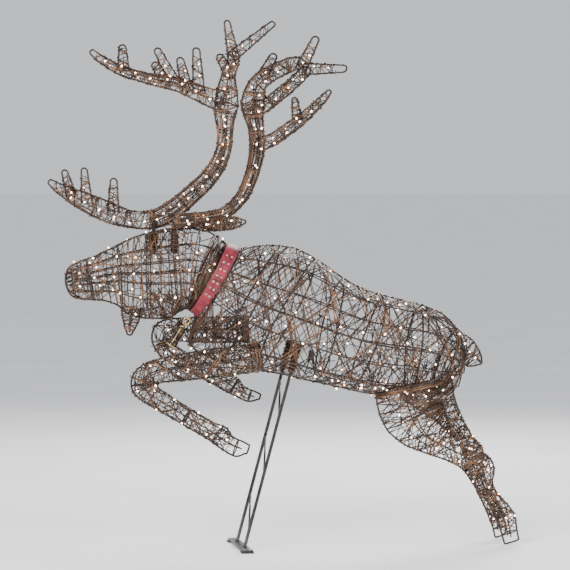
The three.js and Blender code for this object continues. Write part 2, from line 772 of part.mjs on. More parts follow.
function socketHole(antler) {
  const { x, y } = spigotPlace(antler);
  const { rim } = antler.spigot;
  const radius = SPIGOT_RADIUS + SOCKET_WALL + GAP;
  return cylinder(radius, at(x, y, rim - SOCKET_HOLE_DEPTH), at(x, y, rim + OVERSHOOT));
}

function sleeveHole(side) {
  const { rodRadius, sleeveWall, sleeveBottom, sleeveTop, sleeveHoleReach: reach } = stand;
  return standSegment(side, rodRadius + sleeveWall + GAP, sleeveBottom - reach, sleeveTop + reach);
}

function powerInlet() {
  return cylinder(inlet.radius, at(inlet.x, 0, inlet.bottom), at(inlet.x, 0, inlet.top), LIMB_SIDES);
}

function addBody() {
  const body = group('body');
  const rows = trimRows(torsoRows, -GAP, 0);
  const holes = [-1, 1].map(sleeveHole);
  addPart(body, 'torso_frame', cage(rows.slice(4, -1), BODY_SIDES, [1, 6, 10]), STEEL);
  addPart(body, 'torso_winding', drillSkin(basket(rows, BODY_SIDES, true, false), holes), WIRE);
  addPart(body, 'torso_light_string', lightString(hoopRoute(rows, [3, 6, 9, 12]), bodyString), LAMP);
  addPart(body, 'power_inlet', powerInlet(), PLASTIC);
  addPart(body, 'left_stand_sleeve', standSleeve(-1), STEEL);
  addPart(body, 'right_stand_sleeve', standSleeve(1), STEEL);
}

// A small limb is a hairpin frame and a winding, both cut off where they meet the body.
function addSmallLimb(parent, name, rows, body) {
  addPart(parent, `${name}_frame`, drillSkin(hairpin(rows), [body]), STEEL);
  addPart(parent, `${name}_winding`, drillSkin(basket(rows, LIMB_SIDES, true, false), [body]), WIRE);
}

function mirrored(rows) {
  return rows.map((row) => [...row.slice(0, 5), -row[5]]);
}

function addHead() {
  const head = group('head');
  const rows = trimRows(headRows, -GAP, 0);
  const holes = [leftAntler, rightAntler].map(socketHole);
  addPart(head, 'head_frame', cage(rows, BODY_SIDES, [1, 4, 10]), STEEL);
  addPart(head, 'head_winding', drillSkin(basket(rows, BODY_SIDES, true, false), holes), WIRE);
  addPart(head, 'head_light_string', lightString(hoopRoute(rows, [3, 9]), bodyString), LAMP);
  addSmallLimb(head, 'throat_tuft', tuftRows, headBody);
  addSmallLimb(head, 'left_ear', earRows, headBody);
  addSmallLimb(head, 'right_ear', mirrored(earRows), headBody);
  addPart(head, 'left_antler_socket', socket(leftAntler), STEEL);
  addPart(head, 'right_antler_socket', socket(rightAntler), STEEL);
}

function addLeg(name, upperName, rows, split, hoopRows) {
  const leg = group(name);
  const upper = trimRows(rows.slice(0, split + 1), 0, -GAP / 2);
  const lower = trimRows(rows.slice(split), -GAP / 2, 0);
  const upperSkin = drillSkin(basket(upper, LIMB_SIDES, true, true), [torsoBody]);
  addPart(leg, `${name}_frame`, drillSkin(legFrame(rows, hoopRows), [torsoBody]), STEEL);
  addPart(leg, `${name}_${upperName}_winding`, upperSkin, WIRE);
  addPart(leg, `${name}_shank_winding`, basket(lower, LIMB_SIDES, true, false), WIRE);
}

function addCollar() {
  const band = group('collar');
  addPart(band, 'collar_strap', strap(), LEATHER);
  addPart(band, 'collar_buckle', buckle(), BRASS);
  addPart(band, 'collar_prongs', prongs(), BRASS);
  addPart(band, 'collar_keeper', keeper(), LEATHER);
  collar.eyeletFaces.forEach((face, i) => {
    addPart(band, `collar_eyelet_${2 * i + 1}`, eyelet(BODY_SIDES - face, -collar.eyeletAcross), NICKEL);
    addPart(band, `collar_eyelet_${2 * i + 2}`, eyelet(BODY_SIDES - face, collar.eyeletAcross), NICKEL);
  });
  addPart(band, 'collar_eye', collarEye(), BRASS);
  addPart(band, 'collar_ring', hangingRing(), BRASS);
}

function addBell() {
  const hanging = group('bell');
  addPart(hanging, 'bell_loop', bellLoop(), BRASS);
  addPart(hanging, 'bell_shell', bellShell(), BRASS);
  addPart(hanging, 'bell_clapper', clapper(), BRASS);
}

function spigotHole(antler) {
  const { x, y } = spigotPlace(antler);
  const { rim, top } = antler.spigot;
  return cylinder(SPIGOT_RADIUS + FLANGE + GAP, at(x, y, rim - FLANGE), at(x, y, top + GAP));
}

function addAntler(name, antler, frameBranches, skins) {
  const part = group(name);
  const place = antlerPlane(antler);
  const frame = antlerFrame(antler, frameBranches);
  addPart(part, `${name}_frame`, frame, STEEL);
  const hollow = antlerShape(frameBranches, place, SKIN, -SKIN);
  const outlines = antlerOutlines(antler, frameBranches, ANTLER_ROD + GAP);
  let taken = join([headBody, spigotHole(antler), frame, ...outlines]);
  for (const { skin, branches } of skins) {
    const outside = antlerShape(branches, place, 0, 0);
    addPart(part, `${name}_${skin}_winding`, largestPiece(outside.subtract(hollow).subtract(taken)), WIRE);
    taken = taken.add(antlerShape(branches, place, -GAP, GAP));
  }
  const route = antlerRoute(antler, frameBranches);
  addPart(part, `${name}_light_string`, lightString(route, antlerString), LAMP);
}

function addAntlers() {
  const left = leftAntler;
  addAntler('left_antler', left, [left.beam, left.upper, left.lower, left.back], [
    { skin: 'beam', branches: [left.beam, left.back, ...left.beamTines] },
    { skin: 'palm', branches: [left.upper, left.lower, ...left.branchTines] },
  ]);
  const right = rightAntler;
  addAntler('right_antler', right, [right.beam, right.forward, right.upward, right.shovel], [
    { skin: 'beam', branches: [right.beam] },
    { skin: 'crown', branches: [right.forward, right.upward, ...right.branchTines] },
    { skin: 'brow', branches: [right.shovel, ...right.shovelTines] },
  ]);
}

function addStand() {
  const base = group('stand');
  addPart(base, 'stand_frame', standFrame(), STEEL);
  addPart(base, 'left_foot_pad', footPad(-1), PLASTIC);
  addPart(base, 'right_foot_pad', footPad(1), PLASTIC);
}

addBody();
addSmallLimb(group('tail'), 'tail', tailRows, torsoBody);
addHead();
addLeg('left_foreleg', 'forearm', leftForelegRows, 6, [4, 12]);
addLeg('right_foreleg', 'forearm', rightForelegRows, 5, [3, 11]);
addLeg('left_hind_leg', 'thigh', leftHindLegRows, 8, [4, 13]);
addLeg('right_hind_leg', 'thigh', rightHindLegRows, 6, [4, 11]);
addCollar();
addBell();
addAntlers();
addStand();

export default deer;
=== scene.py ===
import math
import random

import bpy
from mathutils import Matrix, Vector
from mathutils.bvhtree import BVHTree


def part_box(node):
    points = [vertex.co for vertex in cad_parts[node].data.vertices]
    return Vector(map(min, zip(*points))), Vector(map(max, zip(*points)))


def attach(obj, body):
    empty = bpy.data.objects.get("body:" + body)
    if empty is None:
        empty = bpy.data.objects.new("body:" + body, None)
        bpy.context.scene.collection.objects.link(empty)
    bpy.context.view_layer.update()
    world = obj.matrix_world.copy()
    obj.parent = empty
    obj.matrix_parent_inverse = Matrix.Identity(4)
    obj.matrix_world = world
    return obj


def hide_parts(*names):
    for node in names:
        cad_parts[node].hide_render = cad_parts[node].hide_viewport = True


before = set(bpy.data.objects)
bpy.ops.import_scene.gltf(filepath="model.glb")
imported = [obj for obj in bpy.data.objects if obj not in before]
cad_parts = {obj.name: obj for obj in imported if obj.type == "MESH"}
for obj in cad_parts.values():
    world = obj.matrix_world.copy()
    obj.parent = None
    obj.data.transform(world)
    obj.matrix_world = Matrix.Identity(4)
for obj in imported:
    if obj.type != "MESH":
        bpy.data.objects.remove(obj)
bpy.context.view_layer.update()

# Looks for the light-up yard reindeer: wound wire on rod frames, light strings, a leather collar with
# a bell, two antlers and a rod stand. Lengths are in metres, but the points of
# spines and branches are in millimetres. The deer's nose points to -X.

random.seed(23)

# Driving dimensions, in metres.
SKIN = 0.0025              # wall of a CAD winding skin
ROD_RADIUS = 0.0029
THIN_ROD_RADIUS = 0.0022
WIRE_RADIUS = 0.00145
LEAD_RADIUS = 0.0014
BULB_RADIUS = 0.0025
BULB_LENGTH = 0.0070
HUSK_RADIUS = 0.0023
HUSK_LENGTH = 0.006
ANTLER_HALF_DEPTH = 0.012
ANTLER_ROOT_Y = 0.035
ANTLER_ROOT_Z = 0.975
STATION_STEP = 0.008       # distance between the stations of a limb's grid
COLUMNS = 24               # directions round a limb at each station
BODY_POSTS = 12            # places round the torso or the head where a wire can turn
LIMB_POSTS = 8             # the same round a leg, an antler, an ear or the tail
BLIND_REACH = 0.02         # a ring's radius where no ray meets the skin
SAME_PLACE = 1e-5          # points nearer than this count as one
ROD_SIDES = 8
TIP_STEPS = 12             # corners round the tip of a hairpin
HOOP_DEPTH = 2.4           # depth of a hoop's axis below the surface, in its own radii
LAYER_GAP = 0.0006         # how far wires of the two hands lie above and below the surface
WIRE_RISE = 0.0008         # how far a wound wire's corners stand off at random
CHORD_STEP = 0.025
LEAD_STEP = 0.012
LEAD_LIFT = 0.001

REARWARD = Vector((1, 0, 0))
ACROSS = Vector((0, 1, 0))
UP = Vector((0, 0, 1))


def jitter(reach):
    """A random step of up to reach either way."""
    return random.uniform(-reach, reach)


def circle(centre, first, second, radius, count=32):
    """Points round a circle in the plane of two unit directions."""
    return [
        centre + (first * math.cos(a) + second * math.sin(a)) * radius
        for a in (2 * math.pi * k / count for k in range(count))
    ]


# ---- meshes from tubes

class Tubes:
    """Vertices and faces of many closed tubes and turned parts."""

    def __init__(self):
        self.points = []
        self.faces = []

    def add_rings(self, rings, looped=False):
        first = len(self.points)
        sides = len(rings[0])
        for ring in rings:
            self.points.extend(ring)
        bands = len(rings) if looped else len(rings) - 1
        for band in range(bands):
            low = first + band * sides
            high = first + ((band + 1) % len(rings)) * sides
            for i in range(sides):
                j = (i + 1) % sides
                self.faces.append((low + i, low + j, high + j, high + i))
        if not looped:
            last = first + (len(rings) - 1) * sides
            self.faces.append(tuple(first + i for i in reversed(range(sides))))
            self.faces.append(tuple(last + i for i in range(sides)))

    def add(self, path, radius, sides=6, looped=False):
        path = without_repeats(path)
        if len(path) < 2:
            return
        rings = []
        normal = None
        count = len(path)
        for i, point in enumerate(path):
            before = path[(i - 1) % count] if looped or i else point
            after = path[(i + 1) % count] if looped or i < count - 1 else point
            tangent = (after - before).normalized()
            if normal is None:
                normal = tangent.orthogonal()
            normal = (normal - tangent * normal.dot(tangent)).normalized()
            rings.append(circle(point, normal, tangent.cross(normal), radius, sides))
        self.add_rings(rings, looped)

    def add_turned(self, profile, origin, axis, sides=12):
        """A turned part: profile is [radius, distance along the axis]."""
        axis = axis.normalized()
        first = axis.orthogonal().normalized()
        second = axis.cross(first)
        self.add_rings([
            circle(origin + axis * distance, first, second, radius, sides) for radius, distance in profile
        ])


def without_repeats(path):
    kept = [path[0]]
    for point in path[1:]:
        if (point - kept[-1]).length > SAME_PLACE:
            kept.append(point)
    return kept


def make_piece(name, tubes, material, body, replaces=()):
    mesh = bpy.data.meshes.new(name)
    mesh.from_pydata([tuple(p) for p in tubes.points], [], tubes.faces)
    mesh.validate()
    mesh.update()
    mesh.shade_smooth()
    mesh.materials.append(material)
    piece = bpy.data.objects.new(name, mesh)
    bpy.context.scene.collection.objects.link(piece)
    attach(piece, body)
    if replaces:
        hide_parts(*replaces)
    return piece


# ---- materials

CONTRAST = 0.3             # how much of the noise's range the two colours blend over
GRAIN_DETAIL = 5
GRAIN_HEIGHT = 0.0004


def speckled(name, dark, light, scale, metallic, roughness, bump=0.2):
    """Two colours mixed by a fine noise that also moves the roughness and the height."""
    material = bpy.data.materials.new(name)
    material.use_nodes = True
    nodes = material.node_tree.nodes
    links = material.node_tree.links
    shader = nodes["Principled BSDF"]
    shader.inputs["Metallic"].default_value = metallic
    place = nodes.new("ShaderNodeTexCoord")
    noise = nodes.new("ShaderNodeTexNoise")
    noise.inputs["Scale"].default_value = scale
    noise.inputs["Detail"].default_value = GRAIN_DETAIL
    links.new(place.outputs["Object"], noise.inputs["Vector"])
    ramp = nodes.new("ShaderNodeValToRGB")
    ramp.color_ramp.elements[0].position = 0.5 - CONTRAST / 2
    ramp.color_ramp.elements[0].color = (*dark, 1)
    ramp.color_ramp.elements[1].position = 0.5 + CONTRAST / 2
    ramp.color_ramp.elements[1].color = (*light, 1)
    links.new(noise.outputs["Fac"], ramp.inputs["Fac"])
    links.new(ramp.outputs["Color"], shader.inputs["Base Color"])
    rough = nodes.new("ShaderNodeMapRange")
    rough.inputs["To Min"].default_value = roughness[0]
    rough.inputs["To Max"].default_value = roughness[1]
    links.new(noise.outputs["Fac"], rough.inputs["Value"])
    links.new(rough.outputs["Result"], shader.inputs["Roughness"])
    lift = nodes.new("ShaderNodeBump")
    lift.inputs["Strength"].default_value = bump
    lift.inputs["Distance"].default_value = GRAIN_HEIGHT
    links.new(noise.outputs["Fac"], lift.inputs["Height"])
    links.new(lift.outputs["Normal"], shader.inputs["Normal"])
    return material


def copper_wire():
    return speckled("copper_wire", (0.030, 0.016, 0.010), (0.215, 0.108, 0.056), 26, 0.45, (0.3, 0.45))


def dark_wire():
    return speckled("dark_wire", (0.010, 0.006, 0.004), (0.075, 0.036, 0.020), 30, 0.4, (0.3, 0.5))


def rod_paint():
    return speckled("rod_paint", (0.010, 0.008, 0.007), (0.045, 0.030, 0.022), 60, 0.35, (0.28, 0.45))


def lead_cover():
    return speckled("lead_cover", (0.010, 0.008, 0.006), (0.040, 0.024, 0.014), 45, 0.0, (0.4, 0.6))


def stand_paint():
    return speckled("stand_paint", (0.012, 0.011, 0.010), (0.040, 0.036, 0.032), 90, 0.45, (0.22, 0.42))


def brass():
    return speckled("brass", (0.52, 0.33, 0.10), (0.86, 0.63, 0.28), 70, 1.0, (0.14, 0.34), 0.12)


# Brass coloured near-black: a painted dark reflection of the surroundings in polished brass, not the metal's
# own tone.
def brass_painted_dark_reflection():
    return speckled("brass_painted_dark_reflection", (0.006, 0.005, 0.006), (0.085, 0.055, 0.026), 45, 0.55, (0.12, 0.26), 0.12)


def nickel():
    return speckled("nickel", (0.50, 0.49, 0.47), (0.82, 0.81, 0.79), 120, 1.0, (0.14, 0.32), 0.12)


def rubber():
    return speckled("rubber", (0.012, 0.012, 0.012), (0.035, 0.034, 0.033), 220, 0.0, (0.65, 0.9), 0.5)


def inlet_plastic():
    return speckled("inlet_plastic", (0.014, 0.014, 0.014), (0.030, 0.030, 0.030), 160, 0.0, (0.45, 0.65))


def thread():
    return speckled("thread", (0.16, 0.02, 0.03), (0.38, 0.10, 0.11), 300, 0.0, (0.6, 0.8), 0.4)


def leather():
    """Crimson leather with a pebbled grain and darker patches."""
    material = speckled("leather", (0.085, 0.004, 0.011), (0.27, 0.014, 0.032), 38, 0.0, (0.42, 0.62), 0.15)
    nodes = material.node_tree.nodes
    links = material.node_tree.links
    grain = nodes.new("ShaderNodeTexVoronoi")
    grain.inputs["Scale"].default_value = 620
    place = next(n for n in nodes if n.bl_idname == "ShaderNodeTexCoord")
    links.new(place.outputs["Object"], grain.inputs["Vector"])
    pebble = nodes.new("ShaderNodeBump")
    pebble.inputs["Strength"].default_value = 0.35
    pebble.inputs["Distance"].default_value = 0.0005
    smooth = next(n for n in nodes if n.bl_idname == "ShaderNodeBump")
    links.new(grain.outputs["Distance"], pebble.inputs["Height"])
    links.new(smooth.outputs["Normal"], pebble.inputs["Normal"])
    links.new(pebble.outputs["Normal"], nodes["Principled BSDF"].inputs["Normal"])
    return material


def lit_bulb():
    """A lit bulb: mostly warm white, here and there rosy or amber."""
    material = speckled("lit_bulb", (1.0, 0.80, 0.66), (1.0, 0.92, 0.86), 9, 0.0, (0.2, 0.35), 0.05)
    nodes = material.node_tree.nodes
    links = material.node_tree.links
    shader = nodes["Principled BSDF"]
    place = next(n for n in nodes if n.bl_idname == "ShaderNodeTexCoord")
    hue = nodes.new("ShaderNodeTexNoise")
    hue.inputs["Scale"].default_value = 17
    links.new(place.outputs["Object"], hue.inputs["Vector"])
    ramp = nodes.new("ShaderNodeValToRGB")
    ramp.color_ramp.elements[0].position = 0.36
    ramp.color_ramp.elements[0].color = (1.0, 0.30, 0.04, 1)
    ramp.color_ramp.elements[1].position = 0.62
    ramp.color_ramp.elements[1].color = (1.0, 0.60, 0.50, 1)
    middle = ramp.color_ramp.elements.new(0.46)
    middle.color = (1.0, 0.76, 0.52, 1)
    links.new(hue.outputs["Fac"], ramp.inputs["Fac"])
    links.new(ramp.outputs["Color"], shader.inputs["Emission Color"])
    shader.inputs["Emission Strength"].default_value = 11.0
    return material


def floor_paint():
    return speckled("floor_paint", (0.88, 0.88, 0.89), (0.93, 0.93, 0.94), 2.0, 0.0, (0.7, 0.85), 0.02)


COPPER = copper_wire()
DARK = dark_wire()
RODS = rod_paint()
LEAD = lead_cover()
BULB = lit_bulb()
BRASS = brass()
BRASS_PAINTED_DARK_REFLECTION = brass_painted_dark_reflection()
NICKEL = nickel()
LEATHER = leather()
STAND_PAINT = stand_paint()
RUBBER = rubber()


# ---- limbs

def smoothed(path, rounds=2):
    for _ in range(rounds):
        path = [
            point if i in (0, len(path) - 1) else (path[i - 1] + point * 2 + path[i + 1]) / 4
            for i, point in enumerate(path)
        ]
    return path


def resampled(points, step):
    """Evenly spaced points on a polyline, with its length."""
    lengths = [(b - a).length for a, b in zip(points, points[1:])]
    total = sum(lengths)
    count = max(4, round(total / step))
    result = []
    for k in range(count + 1):
        want = total * k / count
        i = 0
        while i < len(lengths) - 1 and want > lengths[i]:
            want -= lengths[i]
            i += 1
        result.append(points[i].lerp(points[i + 1], min(1.0, want / lengths[i])))
    return result, total


def metres(point):
    return [value / 1000 for value in point]


def tangents_of(path):
    last = len(path) - 1
    return [(path[min(i + 1, last)] - path[max(i - 1, 0)]).normalized() for i in range(last + 1)]


class LimbParts:
    """The tubes of one limb, by what they are made of."""

    def __init__(self):
        self.rods = Tubes()
        self.copper = Tubes()
        self.dark = Tubes()
        self.leads = Tubes()
        self.bulbs = Tubes()


class Limb:
    """A limb's outer surface: a ring of points at each station along its spine."""

    def __init__(self, centres, rings, length):
        self.centres = centres
        self.rings = rings
        self.length = length
        self.posts = LIMB_POSTS
        self.parts = LimbParts()

    def at(self, share, turn, lift=0.0):
        """The surface point at a share of the length and a turn round the limb, lifted outwards."""
        last = len(self.rings) - 1
        along = min(max(share, 0.0), 1.0) * last
        i = min(int(along), last - 1)
        column = (turn % 1.0) * COLUMNS
        j = int(column) % COLUMNS
        k = (j + 1) % COLUMNS
        near = self.rings[i][j].lerp(self.rings[i][k], column - int(column))
        far = self.rings[i + 1][j].lerp(self.rings[i + 1][k], column - int(column))
        point = near.lerp(far, along - i)
        centre = self.centres[i].lerp(self.centres[i + 1], along - i)
        return point + (point - centre).normalized() * lift

    def line(self, start, end, turn, count, lift):
        """Even points along the surface from start to end at one turn."""
        return [self.at(start + (end - start) * k / count, turn, lift) for k in range(count + 1)]


def shell_of(nodes):
    points = []
    faces = []
    for name in nodes:
        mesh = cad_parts[name].data
        first = len(points)
        points.extend(v.co.copy() for v in mesh.vertices)
        faces.extend(tuple(first + v for v in polygon.vertices) for polygon in mesh.polygons)
    return BVHTree.FromPolygons(points, faces)


def scanned_limb(spine, nodes, reach, ease=0):
    """A limb whose rings are found by looking outwards from its spine at the CAD winding skins.

    ease is how many rounds of smoothing spread the turning of the rings along a wide bend.
    """
    shell = shell_of(nodes)
    coarse, length = resampled([Vector(metres(p)) for p in spine], STATION_STEP)
    centres = smoothed(coarse, 6)
    distances = []
    for centre, tangent in zip(centres, tangents_of(smoothed(centres, ease))):
        side = (ACROSS - tangent * ACROSS.dot(tangent)).normalized()
        top = tangent.cross(side)
        row = []
        for column in range(COLUMNS):
            turn = 2 * math.pi * column / COLUMNS
            direction = top * math.cos(turn) + side * math.sin(turn)
            hit = shell.ray_cast(centre, direction, reach)
            row.append((direction, None if hit[3] is None else hit[3] + SKIN))
        distances.append(row)
    rings = [
        [centres[i] + direction * nearest_distance(distances, i, column)
         for column, (direction, _) in enumerate(row)]
        for i, row in enumerate(distances)
    ]
    return Limb(centres, rings, length)


def nearest_distance(distances, station, column):
    """The distance found in this direction at the nearest station that has one."""
    for step in range(len(distances)):
        for i in (station - step, station + step):
            if 0 <= i < len(distances) and distances[i][column][1] is not None:
                return distances[i][column][1]
    return BLIND_REACH


def strip_limb(branch, side, lean):
    """An antler branch: a flat oval strip in the leaning plane, from [x, z, half width]."""
    points = [Vector((x, half, z)) for x, z, half in map(metres, branch)]
    even, length = resampled(points, STATION_STEP)
    even = smoothed(even, 3)
    centres = [
        Vector((p.x, side * (ANTLER_ROOT_Y + lean * (p.z - ANTLER_ROOT_Z)), p.z)) for p in even
    ]
    plane = Vector((0, 1, -side * lean)).normalized()
    rings = []
    for centre, tangent, source in zip(centres, tangents_of(centres), even):
        edge = plane.cross(tangent).normalized()
        ring = []
        for column in range(COLUMNS):
            turn = 2 * math.pi * column / COLUMNS
            ring.append(centre + edge * source.y * math.cos(turn)
                        + plane * ANTLER_HALF_DEPTH * math.sin(turn))
        rings.append(ring)
    return Limb(centres, rings, length)


# ---- rods, wires and light strings

def rod_along(limb, turn, end, radius=ROD_RADIUS):
    count = max(4, round(limb.length * end / STATION_STEP))
    limb.parts.rods.add(smoothed(limb.line(0.0, end, turn, count, -radius)), radius, ROD_SIDES)


def hairpin(limb, turn=0.0, radius=ROD_RADIUS, roundness=1.0):
    """One rod that runs out along one edge, round the tip and back along the opposite edge.

    A roundness under 1 makes the tip squarer.
    """
    count = max(6, round(limb.length / STATION_STEP))
    tip = limb.centres[-1]
    reach = ((limb.at(1.0, turn) - tip).length - radius) * roundness
    end = max(0.5, 1.0 - reach / limb.length)
    out = smoothed(limb.line(0.0, end, turn, count, -radius))
    back = smoothed(limb.line(0.0, end, turn + 0.5, count, -radius))
    middle = (out[-1] + back[-1]) / 2
    forward = (out[-1] - out[-2]).normalized()
    arm = out[-1] - middle
    forward = (forward - arm * forward.dot(arm) / arm.length_squared).normalized()
    forward *= min(arm.length, max((tip - middle).dot(forward), radius))
    bend = []
    for k in range(1, TIP_STEPS):
        aside = math.cos(math.pi * k / TIP_STEPS)
        ahead = math.sin(math.pi * k / TIP_STEPS)
        across = arm * math.copysign(abs(aside) ** roundness, aside)
        bend.append(middle + across + forward * ahead ** roundness)
    limb.parts.rods.add(out + bend + list(reversed(back)), radius, ROD_SIDES)


def stringers(limb):
    """Six hairpins evenly round the limb, every third one of the thicker rod."""
    for k in range(6):
        hairpin(limb, k / 12, ROD_RADIUS if k % 3 == 0 else THIN_ROD_RADIUS)


def hoop(limb, share, radius=THIN_ROD_RADIUS, lean=0.0):
    """A ring round the limb; lean moves its top and its bottom apart along the limb."""
    path = []
    for column in range(COLUMNS):
        turn = column / COLUMNS
        path.append(limb.at(share + lean * math.cos(2 * math.pi * turn), turn, -HOOP_DEPTH * radius))
    limb.parts.rods.add(path, radius, ROD_SIDES, looped=True)


def wrap(tubes, limb, start, end, first_post, turns, posts, lift=0.0, wander=0.0):
    """A wire wound from start to end of the limb, straight from post to post."""
    count = max(2, round(abs(turns) * posts))
    way = 1 if turns > 0 else -1
    path = []
    for k in range(count + 1):
        share = start + (end - start) * k / count
        if 0 < k < count:
            share += jitter(wander)
        path.append(limb.at(share, (first_post + way * k) / posts, lift + random.uniform(0, WIRE_RISE)))
    tubes.add(path, WIRE_RADIUS)


def chord(tubes, limb, start, first_turn, end, last_turn, lift=0.0):
    """A wire laid slantwise over the surface between two places."""
    steps_round = round(abs(last_turn - first_turn) * COLUMNS)
    count = steps_round + round(abs(end - start) * limb.length / CHORD_STEP) + 2
    path = [
        limb.at(start + (end - start) * k / count, first_turn + (last_turn - first_turn) * k / count, lift)
        for k in range(count + 1)
    ]
    tubes.add(path, WIRE_RADIUS)


def pick(limb, dark_share):
    """The limb's dark wires by this chance, and otherwise its copper ones."""
    return limb.parts.dark if random.random() < dark_share else limb.parts.copper


def criss_cross(limb, count, turns, end, dark_share, wander=0.004):
    """Wires of both hands that cross in diamonds."""
    for k in range(count):
        way = 1 if k % 2 else -1
        wires = pick(limb, dark_share)
        made = random.uniform(*turns) * way
        first = (k // 2) * limb.posts * 2 / count + random.choice((0, 0, 1))
        wrap(wires, limb, 0.0, end, round(first), made, limb.posts, LAYER_GAP * way, wander)


def tight_rings(limb, shares, slant=0.01, dark_share=0.35):
    """Single turns of wire that lie nearly square to the limb."""
    for share in shares:
        wires = pick(limb, dark_share)
        lean = jitter(slant)
        wrap(wires, limb, share - lean, share + lean, random.randrange(limb.posts), 1.08, limb.posts, 0.0004)


def seam(limb, share, count, spread=0.012, posts=None):
    """A bunch of turns and short tails where two limbs are bound together."""
    posts = posts or limb.posts
    for _ in range(count):
        here = share + jitter(spread)
        wrap(pick(limb, 0.4), limb, here, here + jitter(spread),
             random.randrange(posts), random.uniform(0.5, 1.4), posts, jitter(0.003))


def knot(limb, share, turn, count, reach=0.02):
    """A tangle of short wires round one place."""
    width = reach / limb.length
    for _ in range(count):
        a = share + jitter(width)
        b = share + jitter(width)
        chord(pick(limb, 0.4), limb, a, turn + jitter(0.06),
              b, turn + jitter(0.06), random.uniform(-0.006, 0.003))


def loose_wires(limb, count, last_start, reach, swing, depth, dark_share=0.4):
    """Wires laid slantwise from random places; reach is how far they run along the limb."""
    for _ in range(count):
        share = random.uniform(0.0, last_start)
        turn = random.random()
        chord(pick(limb, dark_share), limb, share, turn, share + random.uniform(*reach),
              turn + jitter(swing), random.uniform(-depth, 0.001))


def bulb(parts, point, direction):
    """A lit bulb in its husk."""
    direction = direction.normalized()
    parts.leads.add_turned([
        [HUSK_RADIUS * 0.8, -HUSK_LENGTH * 0.5], [HUSK_RADIUS, -HUSK_LENGTH * 0.4],
        [HUSK_RADIUS, HUSK_LENGTH * 0.4], [HUSK_RADIUS * 0.8, HUSK_LENGTH * 0.5],
    ], point, direction, 8)
    base = point + direction * HUSK_LENGTH * 0.5
    profile = [
        [BULB_RADIUS * math.sin(math.pi * (0.12 + 0.86 * k / 7)) ** 0.7, BULB_LENGTH * k / 7]
        for k in range(8)
    ]
    parts.bulbs.add_turned(profile, base, direction, 12)


def light_string(limb, stops, spacing):
    """A lead through the stops, which are [share, turn], with a bulb at every spacing."""
    path = []
    for (share, turn), (next_share, next_turn) in zip(stops, stops[1:]):
        steps_round = round(abs(next_turn - turn) * COLUMNS)
        count = max(3, round(abs(next_share - share) * limb.length / 0.02) + steps_round)
        for k in range(count):
            part = k / count
            path.append(limb.at(share + (next_share - share) * part, turn + (next_turn - turn) * part,
                                LEAD_LIFT + random.uniform(-0.003, 0.001)))
    path = resampled(path, LEAD_STEP)[0]
    limb.parts.leads.add(smoothed(path, 1), LEAD_RADIUS)
    tangents = tangents_of(path)
    every = max(2, round(spacing / LEAD_STEP))
    for i in range(random.randrange(1, every), len(path) - 1, every):
        nearest = min(limb.centres, key=lambda c: (c - path[i]).length_squared)
        outward = (path[i] - nearest).normalized()
        aside = Vector([jitter(0.7) for _ in range(3)])
        bulb(limb.parts, path[i] + outward * LEAD_RADIUS, outward * 0.4 + aside + tangents[i] * 0.5)


def wandering(start, end, turn, swing, count):
    """Stops along the limb that stray from one turn."""
    return [
        [start + (end - start) * k / count, turn + jitter(swing)]
        for k in range(count + 1)
    ]


def light_rows(limb, turns, ends, swing, count, spacing):
    """Light strings that wander along the limb, one at each turn."""
    for turn in turns:
        light_string(limb, wandering(*ends, turn, swing, count), spacing)


def finish_limb(name, body, parts, windings, lights=()):
    """Makes the pieces of one limb; windings and lights are the CAD nodes that they stand for."""
    make_piece(f"{name}_rods", parts.rods, RODS, body, [f"{name}_frame"])
    make_piece(f"{name}_copper_wires", parts.copper, COPPER, body, windings)
    make_piece(f"{name}_dark_wires", parts.dark, DARK, body)
    make_piece(f"{name}_lead", parts.leads, LEAD, body, lights)
    make_piece(f"{name}_bulbs", parts.bulbs, BULB, body)


# ---- the deer's limbs

def torso():
    limb = scanned_limb([
        (-214.5, 0, 804.5), (-171, 0, 779.5), (-128, 0, 755), (-60, 0, 723), (50, 0, 684), (180, 0, 635),
        (260, 0, 612), (342, 0, 598), (430, 0, 587), (488, 0, 573), (525, 0, 558), (552, 0, 548),
    ], ["torso_winding"], 0.30)
    limb.posts = BODY_POSTS
    stringers(limb)
    hoops = [(0.012, 0), (0.16, 0.01), (0.30, 0.03), (0.47, -0.02), (0.63, 0.02), (0.80, 0.0), (0.93, 0)]
    for share, lean in hoops:
        hoop(limb, share, ROD_RADIUS, lean)
    criss_cross(limb, 40, (1.1, 1.7), 0.97, 0.35, 0.006)
    criss_cross(limb, 6, (2.4, 3.6), 0.97, 0.35, 0.012)
    criss_cross(limb, 10, (0.4, 0.8), 0.34, 0.4, 0.006)
    loose_wires(limb, 36, 0.80, (0.05, 0.22), 0.3, 0.004, 0.35)
    seam(limb, 0.02, 10)
    for share in (0.66, 0.80):
        seam(limb, share, 2, 0.02)
    seam(limb, 0.95, 16, 0.03)
    for share in [0.50 + 0.025 * k for k in range(18)]:
        knot(limb, share, 0.5 + jitter(0.1), 3, 0.03)
    for turn in (0.33, 0.67):
        for share in (0.16, 0.22, 0.28, 0.68, 0.76, 0.84):
            knot(limb, share, turn, 3, 0.035)
    turns = (0.08, 0.20, 0.30, 0.42, 0.5, 0.58, 0.70, 0.80, 0.92)
    light_rows(limb, turns, (0.02, 0.96), 0.05, 8, 0.075)
    light_rows(limb, (0.44, 0.56), (0.5, 0.92), 0.05, 7, 0.05)
    for share in (0.70, 0.96):
        ring = [[share + jitter(0.02), k / 8] for k in range(9)]
        light_string(limb, ring, 0.06)
    inlet_bracket(limb)
    finish_limb("torso", "deer", limb.parts, ["torso_winding"], ["torso_light_string"])


